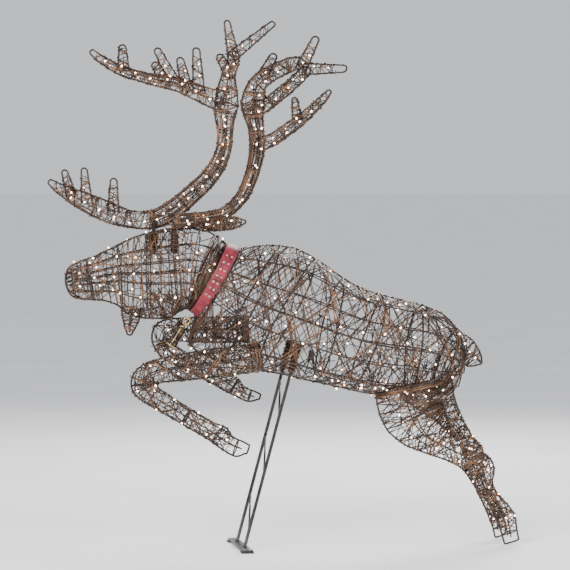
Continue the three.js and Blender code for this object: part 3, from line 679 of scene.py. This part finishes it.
def inlet_bracket(limb):
    """Four thin rods that hold the power inlet above the belly, and the lead that leaves it."""
    low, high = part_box("power_inlet")
    middle = (low + high) / 2
    for side in (-1, 1):
        for share in (0.43, 0.49):
            foot = limb.at(share, 0.5 + side * 0.05, -THIN_ROD_RADIUS)
            edge = middle + ACROSS * side * (high.y - middle.y)
            limb.parts.rods.add([foot, edge], THIN_ROD_RADIUS, ROD_SIDES)
    top = Vector((middle.x, middle.y, high.z - 0.002))
    end = limb.at(0.45, 0.34)
    path = [top, top + UP * 0.02, top.lerp(end, 0.4) + UP * 0.02, top.lerp(end, 0.8), end]
    limb.parts.leads.add(smoothed(resampled(path, STATION_STEP)[0], 3), LEAD_RADIUS, 8)


def head():
    limb = scanned_limb([
        (-214.5, 0, 804.5), (-240, 0, 819), (-264, 0, 828), (-300, 0, 832), (-355, 0, 828),
        (-407, 0, 825), (-452, 0, 825), (-500, 0, 826), (-577, 0, 813), (-620, 0, 807), (-660, 0, 801),
    ], ["head_winding"], 0.20)
    limb.posts = BODY_POSTS
    stringers(limb)
    for share in (0.02, 0.26, 0.45, 0.64, 0.84, 0.95):
        hoop(limb, share)
    tight_rings(limb, [0.03 + 0.92 * k / 25 for k in range(26)], 0.03, 0.4)
    criss_cross(limb, 14, (0.7, 1.3), 0.98, 0.4, 0.008)
    loose_wires(limb, 26, 0.8, (0.06, 0.25), 0.16, 0.003)
    seam(limb, 0.06, 14, 0.03)
    for _ in range(12):
        knot(limb, random.uniform(0.18, 0.5), 0.5 + jitter(0.12), 3, 0.03)
    for _ in range(12):
        knot(limb, random.uniform(0.88, 0.98), random.random(), 3, 0.02)
    for share in (0.24, 0.28, 0.32, 0.36, 0.40, 0.44):
        for turn in (-0.07, 0.0, 0.07):
            knot(limb, share, turn, 5, 0.03)
    light_rows(limb, (0.12, 0.25, 0.38, 0.5, 0.62, 0.75, 0.88), (0.04, 0.97), 0.05, 6, 0.06)
    finish_limb("head", "deer", limb.parts, ["head_winding"], ["head_light_string"])


def throat_tuft():
    limb = scanned_limb([(-462, 0, 728), (-466, 0, 692), (-469, 0, 665), (-470, 0, 642)],
                        ["throat_tuft_winding"], 0.06)
    hairpin(limb)
    for turn in (0.25, 0.75):
        rod_along(limb, turn, 0.9, THIN_ROD_RADIUS)
    criss_cross(limb, 6, (1.5, 2.6), 0.85, 0.4)
    light_rows(limb, (0.75,), (0.05, 0.8), 0.1, 3, 0.045)
    finish_limb("throat_tuft", "deer", limb.parts, ["throat_tuft_winding"])


def tail():
    limb = scanned_limb([
        (540, 0, 590), (556, 0, 587), (572, 0, 579), (586, 0, 567), (599, 0, 552), (606, 0, 546),
    ], ["tail_winding"], 0.07)
    hairpin(limb)
    hairpin(limb, 0.25, THIN_ROD_RADIUS)
    criss_cross(limb, 6, (1.2, 2.2), 0.8, 0.6)
    light_rows(limb, (0.7,), (0.1, 0.8), 0.1, 3, 0.035)
    finish_limb("tail", "deer", limb.parts, ["tail_winding"])


def ear(name, side):
    limb = scanned_limb([
        (x, side * y, z) for x, y, z in [
            (-262, 52, 962), (-246, 62, 966.5), (-208, 80, 973), (-172, 96, 976), (-150, 106, 979),
            (-138, 112, 981)]
    ], [f"{name}_winding"], 0.05)
    hairpin(limb)
    for turn in (0.25, 0.75):
        rod_along(limb, turn, 0.9, THIN_ROD_RADIUS)
    criss_cross(limb, 8, (2.5, 4.0), 0.9, 0.4)
    tight_rings(limb, [0.05 + 0.09 * k for k in range(9)], 0.03)
    light_rows(limb, (0.25, 0.75), (0.05, 0.85), 0.1, 3, 0.04)
    finish_limb(name, "deer", limb.parts, [f"{name}_winding"])


LEG_WOUND_END = 0.93       # share of a leg where its winding ends, above the bare hoof
HIND_EASE = 120            # rounds of smoothing that spread the thigh's wide bend


def leg(name, upper, spine, reach, knee, ease=0):
    """A leg: knee is the share of its length where the shank starts."""
    nodes = [f"{name}_{upper}_winding", f"{name}_shank_winding"]
    limb = scanned_limb(spine, nodes, reach, ease)
    hairpin(limb, roundness=0.4)
    for turn in (0.25, 0.75):
        rod_along(limb, turn, 0.97, THIN_ROD_RADIUS)
    for share in (0.16, 0.34, knee, 0.72, 0.86, 0.95):
        hoop(limb, share)
    criss_cross(limb, 10, (3.0, 5.0), LEG_WOUND_END, 0.4, 0.006)
    criss_cross(limb, 6, (1.5, 2.5), knee, 0.4, 0.006)
    tight_rings(limb, [LEG_WOUND_END * (k + 0.5) / 24 for k in range(24)], 0.016)
    loose_wires(limb, 12, LEG_WOUND_END - 0.12, (0.05, 0.14), 0.3, 0.003)
    seam(limb, 0.02, 9, 0.015, BODY_POSTS)
    seam(limb, knee, 5, 0.03)
    light_rows(limb, (0.12, 0.38, 0.62, 0.88), (0.03, LEG_WOUND_END), 0.08, 6, 0.08)
    light_rows(limb, (0.7,), (LEG_WOUND_END - 0.1, 0.97), 0.1, 2, 0.06)
    finish_limb(name, "deer", limb.parts, nodes)


def legs():
    leg("left_foreleg", "forearm", [
        (-85, -80, 579), (-201, -92, 565), (-342, -92, 549), (-394, -92, 541), (-426, -92, 530),
        (-442, -92, 512), (-440, -91, 486), (-413, -90, 466), (-342, -88, 422), (-239, -84, 360),
        (-183, -81, 318), (-126, -80, 299),
    ], 0.07, 0.50)
    leg("right_foreleg", "forearm", [
        (-95, 84, 655), (-145, 90, 651), (-205, 92, 650), (-308, 92, 651), (-336, 92, 649),
        (-353, 92, 636), (-354, 92, 607), (-336, 90, 581), (-283, 88, 554), (-175, 84, 498),
        (-121, 81, 460), (-64, 80, 441),
    ], 0.07, 0.46)
    leg("left_hind_leg", "thigh", [
        (362, -72, 490), (366, -74, 440), (377, -75, 398), (394, -76, 358), (425, -76, 326),
        (467, -76, 303), (511, -76, 283), (549, -76, 265), (582, -76, 242), (590, -76, 217),
        (596, -76, 187), (613, -76, 154), (641, -76, 120), (663, -76, 85), (672, -76, 52), (679, -76, 6),
    ], 0.13, 0.55, HIND_EASE)
    leg("right_hind_leg", "thigh", [
        (450, 72, 480), (455, 74, 442), (485, 75, 407), (524, 76, 368), (557, 76, 328), (581, 76, 298),
        (599, 76, 272), (605, 76, 245), (608, 76, 211), (622, 76, 172), (642, 76, 132), (666, 76, 85),
        (680, 76, 51), (684, 76, 6),
    ], 0.13, 0.48, HIND_EASE)


# ---- antlers

RIGHT_ANTLER = {
    "name": "right_antler", "side": 1, "lean": 0.3,
    "beams": [
        [(-415, 979, 28), (-365, 993, 31), (-315, 1025, 30), (-232, 1095, 28), (-192, 1142, 26),
         (-168, 1195, 24), (-162, 1255, 25), (-163, 1290, 33), (-155, 1335, 40)],
    ],
    "crowns": [
        [(-155, 1335, 38), (-215, 1355, 30), (-295, 1389, 24), (-385, 1406, 18), (-470, 1430, 18),
         (-535, 1467, 14), (-562, 1492, 11)],
        [(-155, 1325, 38), (-150, 1380, 32), (-145, 1420, 21), (-130, 1455, 21), (-122, 1492, 18)],
        [(-375, 990, 30), (-418, 982, 29), (-460, 985, 28), (-512, 1000, 33), (-568, 1025, 33),
         (-622, 1050, 27), (-668, 1076, 18), (-701.5, 1100, 10)],
    ],
    "tines": [
        [(-465, 1432, 20), (-465, 1510, 13)], [(-340, 1402, 20), (-372, 1457, 13)],
        [(-308, 1392, 20), (-362, 1500, 13)], [(-275, 1382, 20), (-292, 1472, 13)],
        [(-238, 1362, 21), (-240, 1502, 13)], [(-127, 1478, 20), (-142, 1587, 11)],
        [(-140, 1470, 20), (5, 1582, 11)], [(-142, 1425, 20), (-172, 1482, 13)],
        [(-635, 1055, 18), (-655, 1132, 11)], [(-590, 1035, 19), (-595, 1138, 11)],
        [(-512, 1005, 20), (-507, 1107, 12)],
    ],
    "windings": ["beam", "crown", "brow"],
}
LEFT_ANTLER = {
    "name": "left_antler", "side": -1, "lean": 0.3344,
    "beams": [
        [(-368, 980, 28), (-305, 985, 22), (-250, 990, 20), (-200, 999, 20), (-165, 1022, 20),
         (-135, 1060, 21), (-113, 1120, 22), (-102, 1185, 24), (-105, 1230, 24), (-111, 1265, 24),
         (-120, 1300, 33), (-125, 1340, 38)],
    ],
    "crowns": [
        [(-116, 1285, 28), (-124, 1335, 38), (-115, 1385, 29), (-80, 1413, 26), (-15, 1444, 24),
         (22, 1447, 18)],
        [(-120, 1312, 33), (-85, 1321, 21), (-20, 1375, 20), (12, 1406, 20), (38, 1432, 17)],
        [(-105, 1205, 24), (-60, 1220, 21), (10, 1270, 20), (45, 1300, 17), (82, 1337, 14),
         (106, 1367, 9)],
    ],
    "tines": [
        [(12, 1424, 20), (56, 1522, 13)], [(10, 1429, 21), (151, 1431, 13)],
        [(-103, 1398, 20), (-66, 1472, 13)], [(14, 1272, 18), (0, 1346, 10)],
    ],
    "windings": ["beam", "palm"],
}


def strand(limb, turn, starts, ends, swing):
    """One long wire that lies nearly along an antler's branch."""
    chord(pick(limb, 0.55), limb, random.uniform(*starts), turn,
          random.uniform(*ends), turn + jitter(swing), -0.001)


def antler_beam(limb):
    """A beam: two edge rods, dense strands along it and bunches of turns round them."""
    for turn in (0.0, 0.5):
        rod_along(limb, turn, 1.0)
    for turn in (0.1, 0.2, 0.3, 0.4, 0.6, 0.7, 0.8, 0.9):
        for _ in range(3):
            strand(limb, turn + jitter(0.04), (0, 0.06), (0.86, 1.0), 0.06)
    criss_cross(limb, 4, (5.0, 8.0), 1.0, 0.5, 0.01)
    for k in range(9):
        seam(limb, (k + random.uniform(0.3, 0.7)) / 9, 3)
    light_rows(limb, (0.22, 0.29, 0.72, 0.79), (0.03, 0.97), 0.05, 7, 0.06)


def antler_crown(limb):
    """A flat branch: a hairpin with crossed turns and loose strands."""
    hairpin(limb)
    turns = limb.length / 0.05
    criss_cross(limb, 7, (turns * 0.4, turns * 0.8), 0.95, 0.5, 0.02)
    for _ in range(8):
        strand(limb, random.random(), (0, 0.2), (0.6, 0.9), 0.2)
    for share in (0.04, 0.3, 0.55, 0.8):
        seam(limb, share, 3, 0.02)
    light_rows(limb, (0.25, 0.75), (0.05, 0.92), 0.06, 5, 0.045)


def antler_tine(limb):
    """A tine: a hairpin with a few loose turns that thin out towards its tip."""
    hairpin(limb)
    criss_cross(limb, 4, (1.5, 3.0), random.uniform(0.75, 0.96), 0.5, 0.03)
    light_rows(limb, [random.choice((0.25, 0.75))], (0.0, 0.75), 0.04, 2, 0.04)


def antler(spec):
    parts = LimbParts()
    for kind, wind in (("beams", antler_beam), ("crowns", antler_crown), ("tines", antler_tine)):
        for branch in spec[kind]:
            limb = strip_limb(branch, spec["side"], spec["lean"])
            limb.parts = parts
            wind(limb)
    name = spec["name"]
    spigot(parts, name)
    windings = [f"{name}_{part}_winding" for part in spec["windings"]]
    finish_limb(name, name, parts, windings, [f"{name}_light_string"])


def spigot(parts, name):
    """The peg under the antler, with the collar that rests on the socket's rim."""
    low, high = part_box(f"{name}_socket")
    middle = (low + high) / 2
    parts.rods.add_turned([
        [0.0050, -0.060], [0.0060, -0.058], [0.0060, 0.0003], [0.0084, 0.0004], [0.0090, 0.0010],
        [0.0090, 0.0028], [0.0084, 0.0034], [0.0060, 0.0040], [0.0060, 0.030],
    ], Vector((middle.x, middle.y, high.z)), UP, 24)


# ---- collar

def brass_piece(name, tubes, replaces=(), body="deer"):
    make_piece(name, tubes, BRASS, body, replaces)


COLLAR_CENTRE = Vector((-0.2165, 0, 0.8035))
COLLAR_LONG = Vector((0.497, 0, 0.868))       # from the throat to the nape
COLLAR_WIDE = Vector((0.868, 0, -0.497))      # from the front edge to the rear edge
COLLAR_STEPS = 96
COLLAR_THICKNESS = 0.0036
LOOP_TURNS = (0.625, 0.674, 0.758)    # where the strap's loops sit, as shares of the way round
LOOP_HALF_WIDTH = 0.0075              # as a share of the way round
STITCHES = 150                        # in each row
EYELET_PAIRS = 7
FIRST_EYELET = 0.905
EYELET_STEP = 0.042
BUCKLE_TURN = 5 / 24
BUCKLE_HALF_LENGTH = 0.0125
BUCKLE_HALF_WIDTH = 0.0265
SCAN_START = 0.3                      # the strap is looked at from this far out


def collar_profile():
    """For each direction round the neck: the strap's front edge, rear edge and outer reach."""
    shell = shell_of(["collar_strap"])
    rows = []
    for step in range(COLLAR_STEPS):
        turn = 2 * math.pi * step / COLLAR_STEPS
        direction = COLLAR_LONG * math.cos(turn) + ACROSS * math.sin(turn)
        found = []
        for k in range(-34, 35):
            across = k * 0.001
            start = COLLAR_CENTRE + COLLAR_WIDE * across + direction * SCAN_START
            hit = shell.ray_cast(start, -direction)
            if hit[3] is not None and hit[3] < SCAN_START - 0.01:
                found.append((across, SCAN_START - hit[3]))
        rows.append([found[1][0], found[-2][0], found[1][1], found[len(found) // 2][1], found[-2][1]])
    for _ in range(4):
        rows = [
            [(a + 2 * b + c) / 4 for a, b, c in zip(rows[i - 1], row, rows[(i + 1) % COLLAR_STEPS])]
            for i, row in enumerate(rows)
        ]
    return rows


class Collar:
    """Places on the strap's outer face."""

    def __init__(self):
        self.rows = collar_profile()

    def at(self, turn, across, lift=0.0):
        """turn is a share of the way round from the nape; across runs from -1 at the front edge to 1."""
        along = (turn % 1.0) * COLLAR_STEPS
        i = int(along) % COLLAR_STEPS
        pairs = zip(self.rows[i], self.rows[(i + 1) % COLLAR_STEPS])
        front, rear, reach_front, reach_middle, reach_rear = [
            a + (b - a) * (along - int(along)) for a, b in pairs
        ]
        place = (front + rear) / 2 + (rear - front) / 2 * across
        reach_edge = reach_rear if across > 0 else reach_front
        outer = reach_middle + (reach_edge - reach_middle) * abs(across)
        angle = 2 * math.pi * turn
        direction = COLLAR_LONG * math.cos(angle) + ACROSS * math.sin(angle)
        return COLLAR_CENTRE + COLLAR_WIDE * place + direction * (outer + lift)

    def basis(self, turn, across):
        """Unit directions at a place: round the neck, over the strap's width, and outwards."""
        forward = (self.at(turn + 0.01, across) - self.at(turn - 0.01, across)).normalized()
        sideways = (self.at(turn, across + 0.1) - self.at(turn, across - 0.1)).normalized()
        outward = forward.cross(sideways).normalized()
        if outward.dot(self.at(turn, across) - COLLAR_CENTRE) < 0:
            outward = -outward
        return forward, sideways, outward


def band_section():
    """A rounded strap section as [across, depth]; depth 0 is the outer face."""
    crown = [[-0.96, -0.0003], [-0.6, 0.0], [-0.2, 0.0003], [0.2, 0.0003], [0.6, 0.0], [0.96, -0.0003]]
    rim = [[1.0, -0.0010], [1.0, -0.0026]]
    under = [[0.96, -COLLAR_THICKNESS], [-0.96, -COLLAR_THICKNESS]]
    other = [[-1.0, -0.0026], [-1.0, -0.0010]]
    return crown + rim + under + other


def strap(collar):
    band = Tubes()
    section = band_section()
    steps = COLLAR_STEPS * 2
    band.add_rings([
        [collar.at(k / steps, across, depth) for across, depth in section] for k in range(steps)
    ], looped=True)
    make_piece("collar_leather_strap", band, LEATHER, "deer",
               ["collar_strap", "collar_keeper"])


def keeper(collar):
    """Three short leather loops that hold the strap's loose end down."""
    band = Tubes()
    section = [
        [-0.98, 0.0026], [-0.5, 0.0034], [0.5, 0.0034], [0.98, 0.0026], [1.06, 0.0016], [1.06, -0.0038],
        [0.98, -0.0042], [0.98, 0.0008], [-0.98, 0.0008], [-0.98, -0.0042], [-1.06, -0.0038],
        [-1.06, 0.0016],
    ]
    for turn in LOOP_TURNS:
        band.add_rings([
            [collar.at(turn + LOOP_HALF_WIDTH * share, across, lift) for across, lift in section]
            for share in (-1, -0.9, -0.3, 0.3, 0.9, 1)
        ])
    make_piece("collar_leather_keeper", band, LEATHER, "deer")


def stitches(collar):
    """A row of stitches along each edge of the strap."""
    threads = Tubes()
    for across in (-0.84, 0.84):
        for k in range(STITCHES):
            threads.add([
                collar.at(k / STITCHES + share / STITCHES, across, lift)
                for share, lift in ((0, -0.0004), (0.3, 0.0005), (0.6, -0.0004))
            ], 0.0004, 5)
    make_piece("collar_stitches", threads, thread(), "deer")


def eyelets(collar):
    """Pairs of pressed rings down the left side of the strap."""
    rings = Tubes()
    for k in range(EYELET_PAIRS):
        turn = FIRST_EYELET - EYELET_STEP * k
        for across in (-0.38, 0.38):
            forward, sideways, _ = collar.basis(turn, across)
            centre = collar.at(turn, across, 0.0005)
            rings.add(circle(centre, forward, sideways, 0.0024, 20), 0.0009, 8, looped=True)
    make_piece("collar_eyelets", rings, NICKEL, "deer",
               [f"collar_eyelet_{k}" for k in range(1, 9)])


def rounded_loop(centre, first, second, half_first, half_second, corner):
    """A rectangle with round corners in the plane of two directions."""
    path = []
    for k, (i, j) in enumerate(((1, 1), (-1, 1), (-1, -1), (1, -1))):
        for step in range(5):
            angle = math.pi / 2 * (k + step / 4)
            path.append(centre
                        + first * (i * (half_first - corner) + corner * math.cos(angle))
                        + second * (j * (half_second - corner) + corner * math.sin(angle)))
    return path


def buckle(collar):
    """A rounded brass frame with its bar across the strap, and two prongs."""
    metal = Tubes()
    forward, sideways, outward = collar.basis(BUCKLE_TURN, 0)
    centre = collar.at(BUCKLE_TURN, 0, 0.0038)
    outline = rounded_loop(centre, forward, sideways, BUCKLE_HALF_LENGTH, BUCKLE_HALF_WIDTH, 0.004)
    metal.add(outline, 0.0024, 12, looped=True)
    metal.add([centre + sideways * BUCKLE_HALF_WIDTH, centre - sideways * BUCKLE_HALF_WIDTH], 0.0016, 12)
    brass_piece("collar_brass_buckle", metal, ["collar_buckle"])
    pins = Tubes()
    for share in (-1, 1):
        root = centre + sideways * share * 0.009
        pins.add([
            root + forward * along + outward * lift
            for along, lift in ((-0.001, 0.0026), (0.004, 0.0030), (0.010, 0.0034), (0.0145, 0.0030))
        ], 0.0013, 10)
    brass_piece("collar_brass_prongs", pins, ["collar_prongs"])


def make_collar():
    collar = Collar()
    strap(collar)
    keeper(collar)
    stitches(collar)
    eyelets(collar)
    buckle(collar)


# ---- bell

RING_CENTRE = Vector((-0.298, 0, 0.682))
BELL_AXIS = Vector((-0.527, 0, -0.85)).normalized()
HANG = Vector((0.5, 0, 0.866))
RING_RADIUS = 0.0095
BELL_TRIM = [                 # [distance down the bell, radius, thickness]
    (0.0866, 0.0180, 0.0012), (0.0665, 0.0137, 0.0006),
    (0.0400, 0.0135, 0.0006), (0.0225, 0.0092, 0.0007),
]
BALL_RADIUS = 0.006           # of the clapper
BALL_DISTANCE = 0.076


def hanging_ring():
    ring = Tubes()
    ring.add(circle(RING_CENTRE, REARWARD, UP, RING_RADIUS), 0.0023, 12, looped=True)
    brass_piece("collar_brass_ring", ring, ["collar_ring"])
    eye = Tubes()
    centre = RING_CENTRE + HANG * RING_RADIUS
    eye.add(circle(centre, HANG, ACROSS, 0.006), 0.0015, 10, looped=True)
    eye.add_turned([[0.0024, 0.006], [0.0018, 0.0075], [0.0018, 0.010], [0.0030, 0.0112]], centre, HANG, 16)
    brass_piece("collar_brass_eye", eye, ["collar_eye"])


def bell():
    loop = Tubes()
    loop.add(circle(RING_CENTRE + BELL_AXIS * RING_RADIUS, BELL_AXIS, ACROSS, 0.007), 0.0017, 10, looped=True)
    loop.add_turned([[0.0020, 0.0155], [0.0030, 0.0165], [0.0030, 0.0185], [0.0036, 0.0197]],
                    RING_CENTRE, BELL_AXIS, 20)
    brass_piece("bell_brass_loop", loop, ["bell_loop"], "bell")
    body = Tubes()
    outside = [[0.0030, 0.0200], [0.0090, 0.0220], [0.0112, 0.0250], [0.0122, 0.0300], [0.0134, 0.0400],
               [0.0135, 0.0520], [0.0136, 0.0660], [0.0146, 0.0740], [0.0162, 0.0808], [0.0184, 0.0862]]
    inside = [[0.0172, 0.0868], [0.0148, 0.0810], [0.0131, 0.0742], [0.0121, 0.0660], [0.0120, 0.0400],
              [0.0105, 0.0300], [0.0075, 0.0240], [0.0002, 0.0236]]
    body.add_turned(outside + inside, RING_CENTRE, BELL_AXIS, 48)
    # The bell's body is painted near-black as a dark reflection in its polished brass; the trims, loop and
    # clapper keep the plain brass colour.
    make_piece("bell_body_painted_reflection", body, BRASS_PAINTED_DARK_REFLECTION, "bell", ["bell_shell"])
    trim = Tubes()
    first = BELL_AXIS.orthogonal().normalized()
    for distance, radius, thick in BELL_TRIM:
        path = circle(RING_CENTRE + BELL_AXIS * distance, first, BELL_AXIS.cross(first), radius, 48)
        trim.add(path, thick, 8, looped=True)
    brass_piece("bell_brass_trim", trim, (), "bell")


def clapper():
    body = Tubes()
    ball = [
        [BALL_RADIUS * math.sin(a) + 0.0002, BALL_DISTANCE - BALL_RADIUS * math.cos(a)]
        for a in (math.pi * k / 10 for k in range(2, 11))
    ]
    body.add_turned([[0.0011, 0.0285], [0.0012, 0.030], [0.0012, 0.0705]] + ball, RING_CENTRE, BELL_AXIS, 24)
    brass_piece("bell_brass_clapper", body, ["bell_clapper"], "clapper")


# ---- stand

STAND_TILT = math.radians(15)
STAND_PASS = 0.511          # height at which the legs cross x = 0
STAND_HALF_GAUGE = 0.070
SLEEVE_RADIUS = 0.0081
STAND_BOTTOM = 0.009        # heights of a leg's foot, shoulder and top
STAND_STOP = 0.521
STAND_TOP = 0.612
BRACE_HEIGHTS = (0.055, 0.225, 0.395)
BRACE_RISE = 0.110
BAR_LENGTH = 0.030          # the foot bar's size along X and Z
BAR_HEIGHT = 0.006
EDGE = 0.0012               # round edge of the foot bar and its pads


def stand_point(side, height):
    return Vector(((height - STAND_PASS) * math.tan(STAND_TILT), side * STAND_HALF_GAUGE, height))


def stand():
    metal = Tubes()
    for side in (-1, 1):
        foot = stand_point(side, STAND_BOTTOM)
        top = stand_point(side, STAND_TOP)
        along = (top - foot).normalized()
        length = (top - foot).length
        stop = (stand_point(side, STAND_STOP) - foot).length
        metal.add_turned([
            [0.0062, 0.0], [0.0062, 0.003], [0.0050, 0.005], [0.0050, stop], [0.0076, stop + 0.0006],
            [0.0080, stop + 0.0012], [0.0080, stop + 0.0034], [0.0076, stop + 0.0040],
            [0.0050, stop + 0.0044], [0.0050, length - 0.002], [0.0040, length],
        ], foot, along, 24)
        weld(metal, foot + along * 0.002, along, 0.0062)
    for height in BRACE_HEIGHTS:
        start = stand_point(-1, height)
        end = stand_point(1, height + BRACE_RISE)
        metal.add([start, end], 0.003, 16)
        for place, way in ((start, end - start), (end, start - end)):
            weld(metal, place + way.normalized() * 0.0055, way, 0.0036)
    make_piece("stand_rods", metal, STAND_PAINT, "stand", ["stand_frame"])
    foot_bar()


def weld(metal, place, along, radius):
    """A small uneven bead round a joint."""
    first = along.orthogonal().normalized()
    second = along.normalized().cross(first)
    path = [
        place + (first * math.cos(a) + second * math.sin(a)) * (radius + random.uniform(-0.0002, 0.0004))
        for a in (2 * math.pi * k / 16 for k in range(16))
    ]
    metal.add(path, 0.0012, 6, looped=True)


def rounded_block(low, high, edge):
    """A box with round edges as a stack of rounded rings along Y."""
    centre = (low + high) / 2
    half = (high - low) / 2
    block = Tubes()
    rings = []
    for y, inset in ((-half.y, edge), (-half.y + edge * 0.3, edge * 0.3), (-half.y + edge, 0),
                     (half.y - edge, 0), (half.y - edge * 0.3, edge * 0.3), (half.y, edge)):
        rings.append(rounded_loop(centre + ACROSS * y, REARWARD, UP, half.x - inset, half.z - inset,
                                  max(edge - inset, edge * 0.2)))
    block.add_rings(rings)
    return block


def foot_bar():
    low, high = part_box("stand_frame")
    bar = rounded_block(low, Vector((low.x + BAR_LENGTH, high.y, low.z + BAR_HEIGHT)), EDGE)
    make_piece("stand_foot_bar", bar, STAND_PAINT, "stand")
    for name in ("left_foot_pad", "right_foot_pad"):
        pad_low, pad_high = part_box(name)
        pad = rounded_block(pad_low, pad_high + UP * 0.0002, EDGE)
        make_piece(f"{name}_rubber", pad, RUBBER, "stand", [name])


def bind(copper, dark, start, end, radius):
    """Three layers of wire wound round a straight tube: a close one and two loose ones across it."""
    along = (end - start).normalized()
    first = along.orthogonal().normalized()
    second = along.cross(first)
    for tubes, gap, lift, way in ((dark, 0.0032, 1.0, 1), (copper, 0.011, 3.0, -1), (dark, 0.016, 3.4, -1)):
        turns = (end - start).length / gap
        count = round(turns * 10)
        path = []
        for k in range(count + 1):
            angle = 2 * math.pi * turns * way * k / count
            reach = radius + WIRE_RADIUS * lift + random.uniform(0, 0.0004)
            aside = first * math.cos(angle) + second * math.sin(angle)
            path.append(start.lerp(end, k / count) + aside * reach)
        tubes.add(path, WIRE_RADIUS)


def bindings():
    """The wire that ties the antlers' sockets and the stand's sleeves into the winding."""
    copper = Tubes()
    dark = Tubes()
    for name in ("left_antler_socket", "right_antler_socket"):
        low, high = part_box(name)
        middle = (low + high) / 2
        start = Vector((middle.x, middle.y, low.z))
        end = Vector((middle.x, middle.y, high.z - 0.003))
        bind(copper, dark, start, end, (high.x - low.x) / 2)
    for side in (-1, 1):
        bind(copper, dark, stand_point(side, 0.531), stand_point(side, 0.6175), SLEEVE_RADIUS)
    make_piece("binding_copper_wires", copper, COPPER, "deer")
    make_piece("binding_dark_wires", dark, DARK, "deer")


def finish_cad_nodes():
    """The small CAD pieces that stay in view get their own finishes."""
    finishes = {
        "power_inlet": inlet_plastic(),
        "left_stand_sleeve": DARK, "right_stand_sleeve": DARK,
        "left_antler_socket": RODS, "right_antler_socket": RODS,
    }
    for name, material in finishes.items():
        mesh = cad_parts[name].data
        mesh.materials.clear()
        mesh.materials.append(material)


# ---- studio

CAMERA_AIM = Vector((0.0, 0.0, 0.7875))
CAMERA_DISTANCE = 9.0
CAMERA_AZIMUTH = math.radians(-10)
CAMERA_ELEVATION = math.radians(2.5)
FRAME_WIDTH = 1.71
SENSOR_WIDTH = 36            # in millimetres
FLOOR_RADIUS = 80.0
FLOOR_SIDES = 96


def place_facing(item, location, ahead):
    """Puts a camera or a lamp somewhere, looking ahead."""
    item.location = location
    item.rotation_mode = "QUATERNION"
    item.rotation_quaternion = ahead.to_track_quat("-Z", "Y")
    bpy.context.scene.collection.objects.link(item)


def camera():
    data = bpy.data.cameras.new("camera")
    data.sensor_width = SENSOR_WIDTH
    data.lens = SENSOR_WIDTH * CAMERA_DISTANCE / FRAME_WIDTH
    data.clip_end = 100
    eye = bpy.data.objects.new("camera", data)
    back = Vector((
        math.sin(CAMERA_AZIMUTH) * math.cos(CAMERA_ELEVATION),
        -math.cos(CAMERA_AZIMUTH) * math.cos(CAMERA_ELEVATION),
        math.sin(CAMERA_ELEVATION),
    ))
    place_facing(eye, CAMERA_AIM + back * CAMERA_DISTANCE, -back)
    bpy.context.scene.camera = eye


def area_light(name, location, size, power, colour):
    data = bpy.data.lights.new(name, "AREA")
    data.size = size
    data.energy = power
    data.color = colour
    place_facing(bpy.data.objects.new(name, data), location, CAMERA_AIM - Vector(location))


def studio():
    """A wide round floor under a pale sky, with three soft lights."""
    mesh = bpy.data.meshes.new("floor")
    rim = [
        (FLOOR_RADIUS * math.cos(a), FLOOR_RADIUS * math.sin(a), 0.0)
        for a in (2 * math.pi * k / FLOOR_SIDES for k in range(FLOOR_SIDES))
    ]
    mesh.from_pydata(rim, [], [tuple(range(FLOOR_SIDES))])
    mesh.materials.append(floor_paint())
    floor = bpy.data.objects.new("floor", mesh)
    bpy.context.scene.collection.objects.link(floor)
    area_light("key", (-2.6, -3.4, 3.4), 2.2, 330, (1.0, 0.97, 0.93))
    area_light("fill", (3.2, -3.0, 1.6), 2.6, 130, (0.93, 0.96, 1.0))
    area_light("rim", (1.2, 3.0, 3.0), 1.8, 170, (1.0, 1.0, 1.0))
    world = bpy.data.worlds.new("world")
    world.use_nodes = True
    world.node_tree.nodes["Background"].inputs["Color"].default_value = (0.80, 0.82, 0.85, 1)
    world.node_tree.nodes["Background"].inputs["Strength"].default_value = 0.95
    bpy.context.scene.world = world


camera()
studio()
torso()
head()
throat_tuft()
tail()
ear("left_ear", -1)
ear("right_ear", 1)
legs()
antler(LEFT_ANTLER)
antler(RIGHT_ANTLER)
make_collar()
hanging_ring()
bell()
clapper()
stand()
bindings()
finish_cad_nodes()
